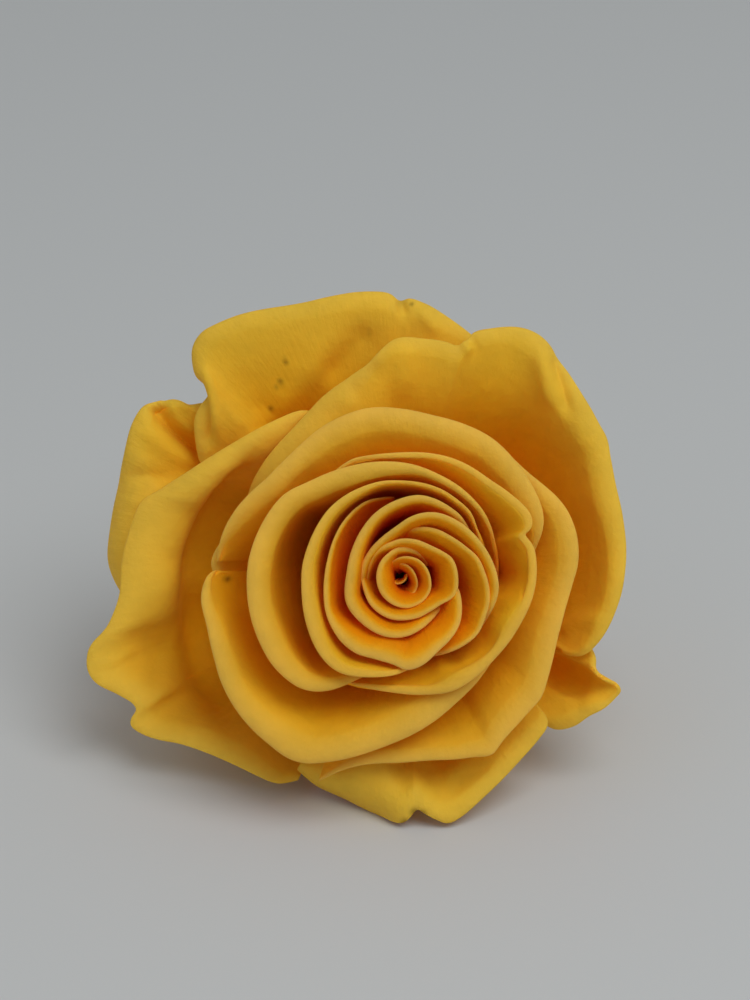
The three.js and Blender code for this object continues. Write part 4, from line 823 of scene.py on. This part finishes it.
def green_skin(name, base, light, streaks):
    """Preserved calyx and stem skin: dull, waxy and streaked along its length."""
    material, shader = new_material(name, {"Roughness": 0.6, "Specular IOR Level": 0.35})
    tree = material.node_tree
    coordinates = add_node(material, "ShaderNodeTexCoord")
    stretch = add_node(material, "ShaderNodeMapping", [(coordinates, "UV", "Vector")],
                       in_Scale=streaks)
    fibres = add_node(material, "ShaderNodeTexNoise", [(stretch, "Vector", "Vector")],
                      in_Scale=1.0, in_Detail=5.0, in_Roughness=0.65)
    colour = ramp_node(material, fibres, "Fac", [(0.3, base), (0.7, light)])
    tree.links.new(colour.outputs["Color"], shader.inputs["Base Color"])
    bump = add_node(material, "ShaderNodeBump", [(fibres, "Fac", "Height")],
                    in_Strength=0.5, in_Distance=0.2 * MM)
    tree.links.new(bump.outputs["Normal"], shader.inputs["Normal"])
    return material


sepal_skin = green_skin("preserved sepal", "#4d5a2a", "#76824a", (22, 3, 1))


def sepal_knot(angle, turn, out, h):
    """A point of a sepal's outline, `turn` degrees round from its middle and `out` from the axis."""
    a = math.radians(angle + turn)
    return (out * math.cos(a), out * math.sin(a), h)


for k in range(SEPALS):
    at = FIRST_SEPAL + 360 / SEPALS * k
    outline = [(SEPAL_SPREAD, 8.6, -3.4), (16, 11.2, -1.8), (7, 14.2, -0.4),
               (0, DOME_RADIUS + SEPAL_LENGTH, 0.4), (-7, 14.2, -0.4), (-16, 11.2, -1.8),
               (-SEPAL_SPREAD, 8.6, -3.4)]
    leaf = petal_sheet(rim=[sepal_knot(at, *point) for point in outline], columns=28,
                       rows=(12, 3), root=(at + SEPAL_SPREAD, at - SEPAL_SPREAD, SEPAL_ROOT),
                       rise=16, lean=34, roll=(1.2, 40))
    leaf = ripple(settle(leaf), 4, 0.3, seed=k)
    sepal = solid_petal(f"sepal_{k + 1}_leaf", leaf, sepal_skin, SEPAL_THICKNESS)
    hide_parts(f"sepal_{k + 1}")
    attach(sepal, "root")


# ---- the hip and the cut stem ----
# The hip is the swelling that the petals and sepals grow from. It narrows into the stem, which
# was cut short and straight across, and its woody end shows a pale pith.
HIP_LENGTH = 8
HIP_RADIUS = 5.6
STEM_RADIUS = 2.2
AROUND = 48
SIDE_STEPS = 60
RIBS = 5
RIB_DEPTH = 0.02
UNEVENNESS = 0.03

stem_skin = green_skin("preserved stem", "#4a5528", "#75804a", (40, 2, 1))
# Dry pith and wood of the cut: pale straw, rough, speckled by its pores.
stem_pith, pith_shader = new_material("dry stem pith", {"Roughness": 0.85})
pith_place = add_node(stem_pith, "ShaderNodeTexCoord")
pith_pores = add_node(stem_pith, "ShaderNodeTexNoise", [(pith_place, "Object", "Vector")],
                      in_Scale=1 / (0.35 * MM), in_Detail=3.0)
pith_colour = ramp_node(stem_pith, pith_pores, "Fac", [(0.35, "#a8935c"), (0.65, "#d9c99a")])
stem_pith.node_tree.links.new(pith_colour.outputs["Color"], pith_shader.inputs["Base Color"])

stem_end = (stem_points @ AXES[2]).min()
stem_low = (stem_end - ORIGIN @ AXES[2]) / MM
profile = [(HIP_RADIUS, DOME_CENTRE_H - 1.6), (HIP_RADIUS - 0.6, DOME_CENTRE_H - 3.6),
           (HIP_RADIUS - 2.2, DOME_CENTRE_H - HIP_LENGTH + 1.4),
           (STEM_RADIUS + 0.2, DOME_CENTRE_H - HIP_LENGTH),
           (STEM_RADIUS, DOME_CENTRE_H - HIP_LENGTH - 2), (STEM_RADIUS, stem_low)]
dome = [((DOME_RADIUS - 1) * math.sin(a), DOME_CENTRE_H + (DOME_RADIUS - 1) * math.cos(a))
        for a in np.linspace(0.02, math.pi / 2, 7)]
side = smooth_line(dome + profile, SIDE_STEPS)
bpy.ops.object.select_all(action="DESELECT")
bpy.ops.mesh.primitive_cylinder_add(vertices=AROUND, radius=1, depth=1, end_fill_type="NOTHING")
stem = bpy.context.object
stem.name = "hip_and_stem"
work = bmesh.new()
rings = []
for r, h in side:
    ring = []
    for k in range(AROUND):
        a = 2 * math.pi * k / AROUND
        lump = noise.noise(Vector((math.cos(a) * 2, h * 0.3, 0)))
        swell = 1 + RIB_DEPTH * math.sin(RIBS * a) + UNEVENNESS * lump
        ring.append(work.verts.new(placed([r * swell * math.cos(a), r * swell * math.sin(a), h])))
    rings.append(ring)
for lower, upper in zip(rings[1:], rings):
    for k in range(AROUND):
        work.faces.new([lower[k], lower[(k + 1) % AROUND], upper[(k + 1) % AROUND], upper[k]])
for ring, h in ((rings[0], side[0][1]), (rings[-1], stem_low)):
    hub = work.verts.new(placed([0, 0, h]))
    for k in range(AROUND):
        work.faces.new([ring[k], ring[(k + 1) % AROUND], hub])
bmesh.ops.recalc_face_normals(work, faces=work.faces)
for face in work.faces:
    face.material_index = 1 if len(face.verts) == 3 and face.verts[0] in rings[-1] else 0
skin_map = work.loops.layers.uv.new("UVMap")
ring_place = {vert: (k, n) for n, ring in enumerate(rings) for k, vert in enumerate(ring)}
for face in work.faces:
    places = [ring_place.get(loop.vert, (0, 0)) for loop in face.loops]
    seam = max(k for k, _ in places) == AROUND - 1 and min(k for k, _ in places) == 0
    for loop, (k, n) in zip(face.loops, places):
        loop[skin_map].uv = ((AROUND if seam and k == 0 else k) / AROUND, n / len(rings))
work.to_mesh(stem.data)
work.free()
bpy.ops.object.shade_smooth_by_angle(angle=math.radians(50))
stem.data.materials.append(stem_skin)
stem.data.materials.append(stem_pith)
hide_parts("stem")
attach(stem, "root")


# ---- floor, light and camera ----
# A plain pale surface and soft window-like light from the upper right. The camera looks
# straight down the bloom's axis, so it looks down on the surface by the angle of lie.
bpy.ops.mesh.primitive_plane_add(size=6)
floor = bpy.context.object
floor.name = "floor"
paper, _ = new_material("matt paper", {"Base Color": linear("#cfd2d2"), "Roughness": 0.9})
floor.data.materials.append(paper)

world = bpy.data.worlds.new("studio")
bpy.context.scene.world = world
world.use_nodes = True
sky = world.node_tree.nodes["Background"]
sky.inputs["Color"].default_value = linear("#ebedef")
sky.inputs["Strength"].default_value = 0.37


BLOOM_MIDDLE = 0.025


def soft_light(name, azimuth, elevation, distance, size, power):
    """A square soft box that points at the bloom."""
    lamp = bpy.data.lights.new(name, "AREA")
    lamp.shape = "SQUARE"
    lamp.size = size
    lamp.energy = power
    box = bpy.data.objects.new(name, lamp)
    bpy.context.scene.collection.objects.link(box)
    a, e = math.radians(azimuth), math.radians(elevation)
    away = Vector((math.sin(a) * math.cos(e), -math.cos(a) * math.cos(e), math.sin(e)))
    box.location = Vector((0, 0, BLOOM_MIDDLE)) + away * distance
    box.rotation_euler = away.to_track_quat("Z", "Y").to_euler()


soft_light("window", 36, 58, 0.8, 0.55, 3.0)
soft_light("fill", -50, 30, 1.0, 0.7, 0.3)

PIXELS_PER_MM = 9
PICTURE_HEIGHT = 1000
CAMERA_DISTANCE = 400
FACE_HEIGHT = 30
VIEW_CENTRE = (-2.75, 8.03)
SENSOR = 36
lens = bpy.data.cameras.new("camera")
lens.sensor_width = SENSOR
lens.lens = SENSOR * PIXELS_PER_MM * CAMERA_DISTANCE / PICTURE_HEIGHT
lens.clip_start = 0.01
camera = bpy.data.objects.new("camera", lens)
bpy.context.scene.collection.objects.link(camera)
camera.location = placed([VIEW_CENTRE[0], VIEW_CENTRE[1], FACE_HEIGHT + CAMERA_DISTANCE])
camera.rotation_euler = (math.pi / 2 - LIE_ANGLE, 0, 0)
bpy.context.scene.camera = camera
bpy.context.scene.view_settings.view_transform = "Standard"
bpy.context.scene.cycles.diffuse_bounces = 10
bpy.context.scene.cycles.max_bounces = 14
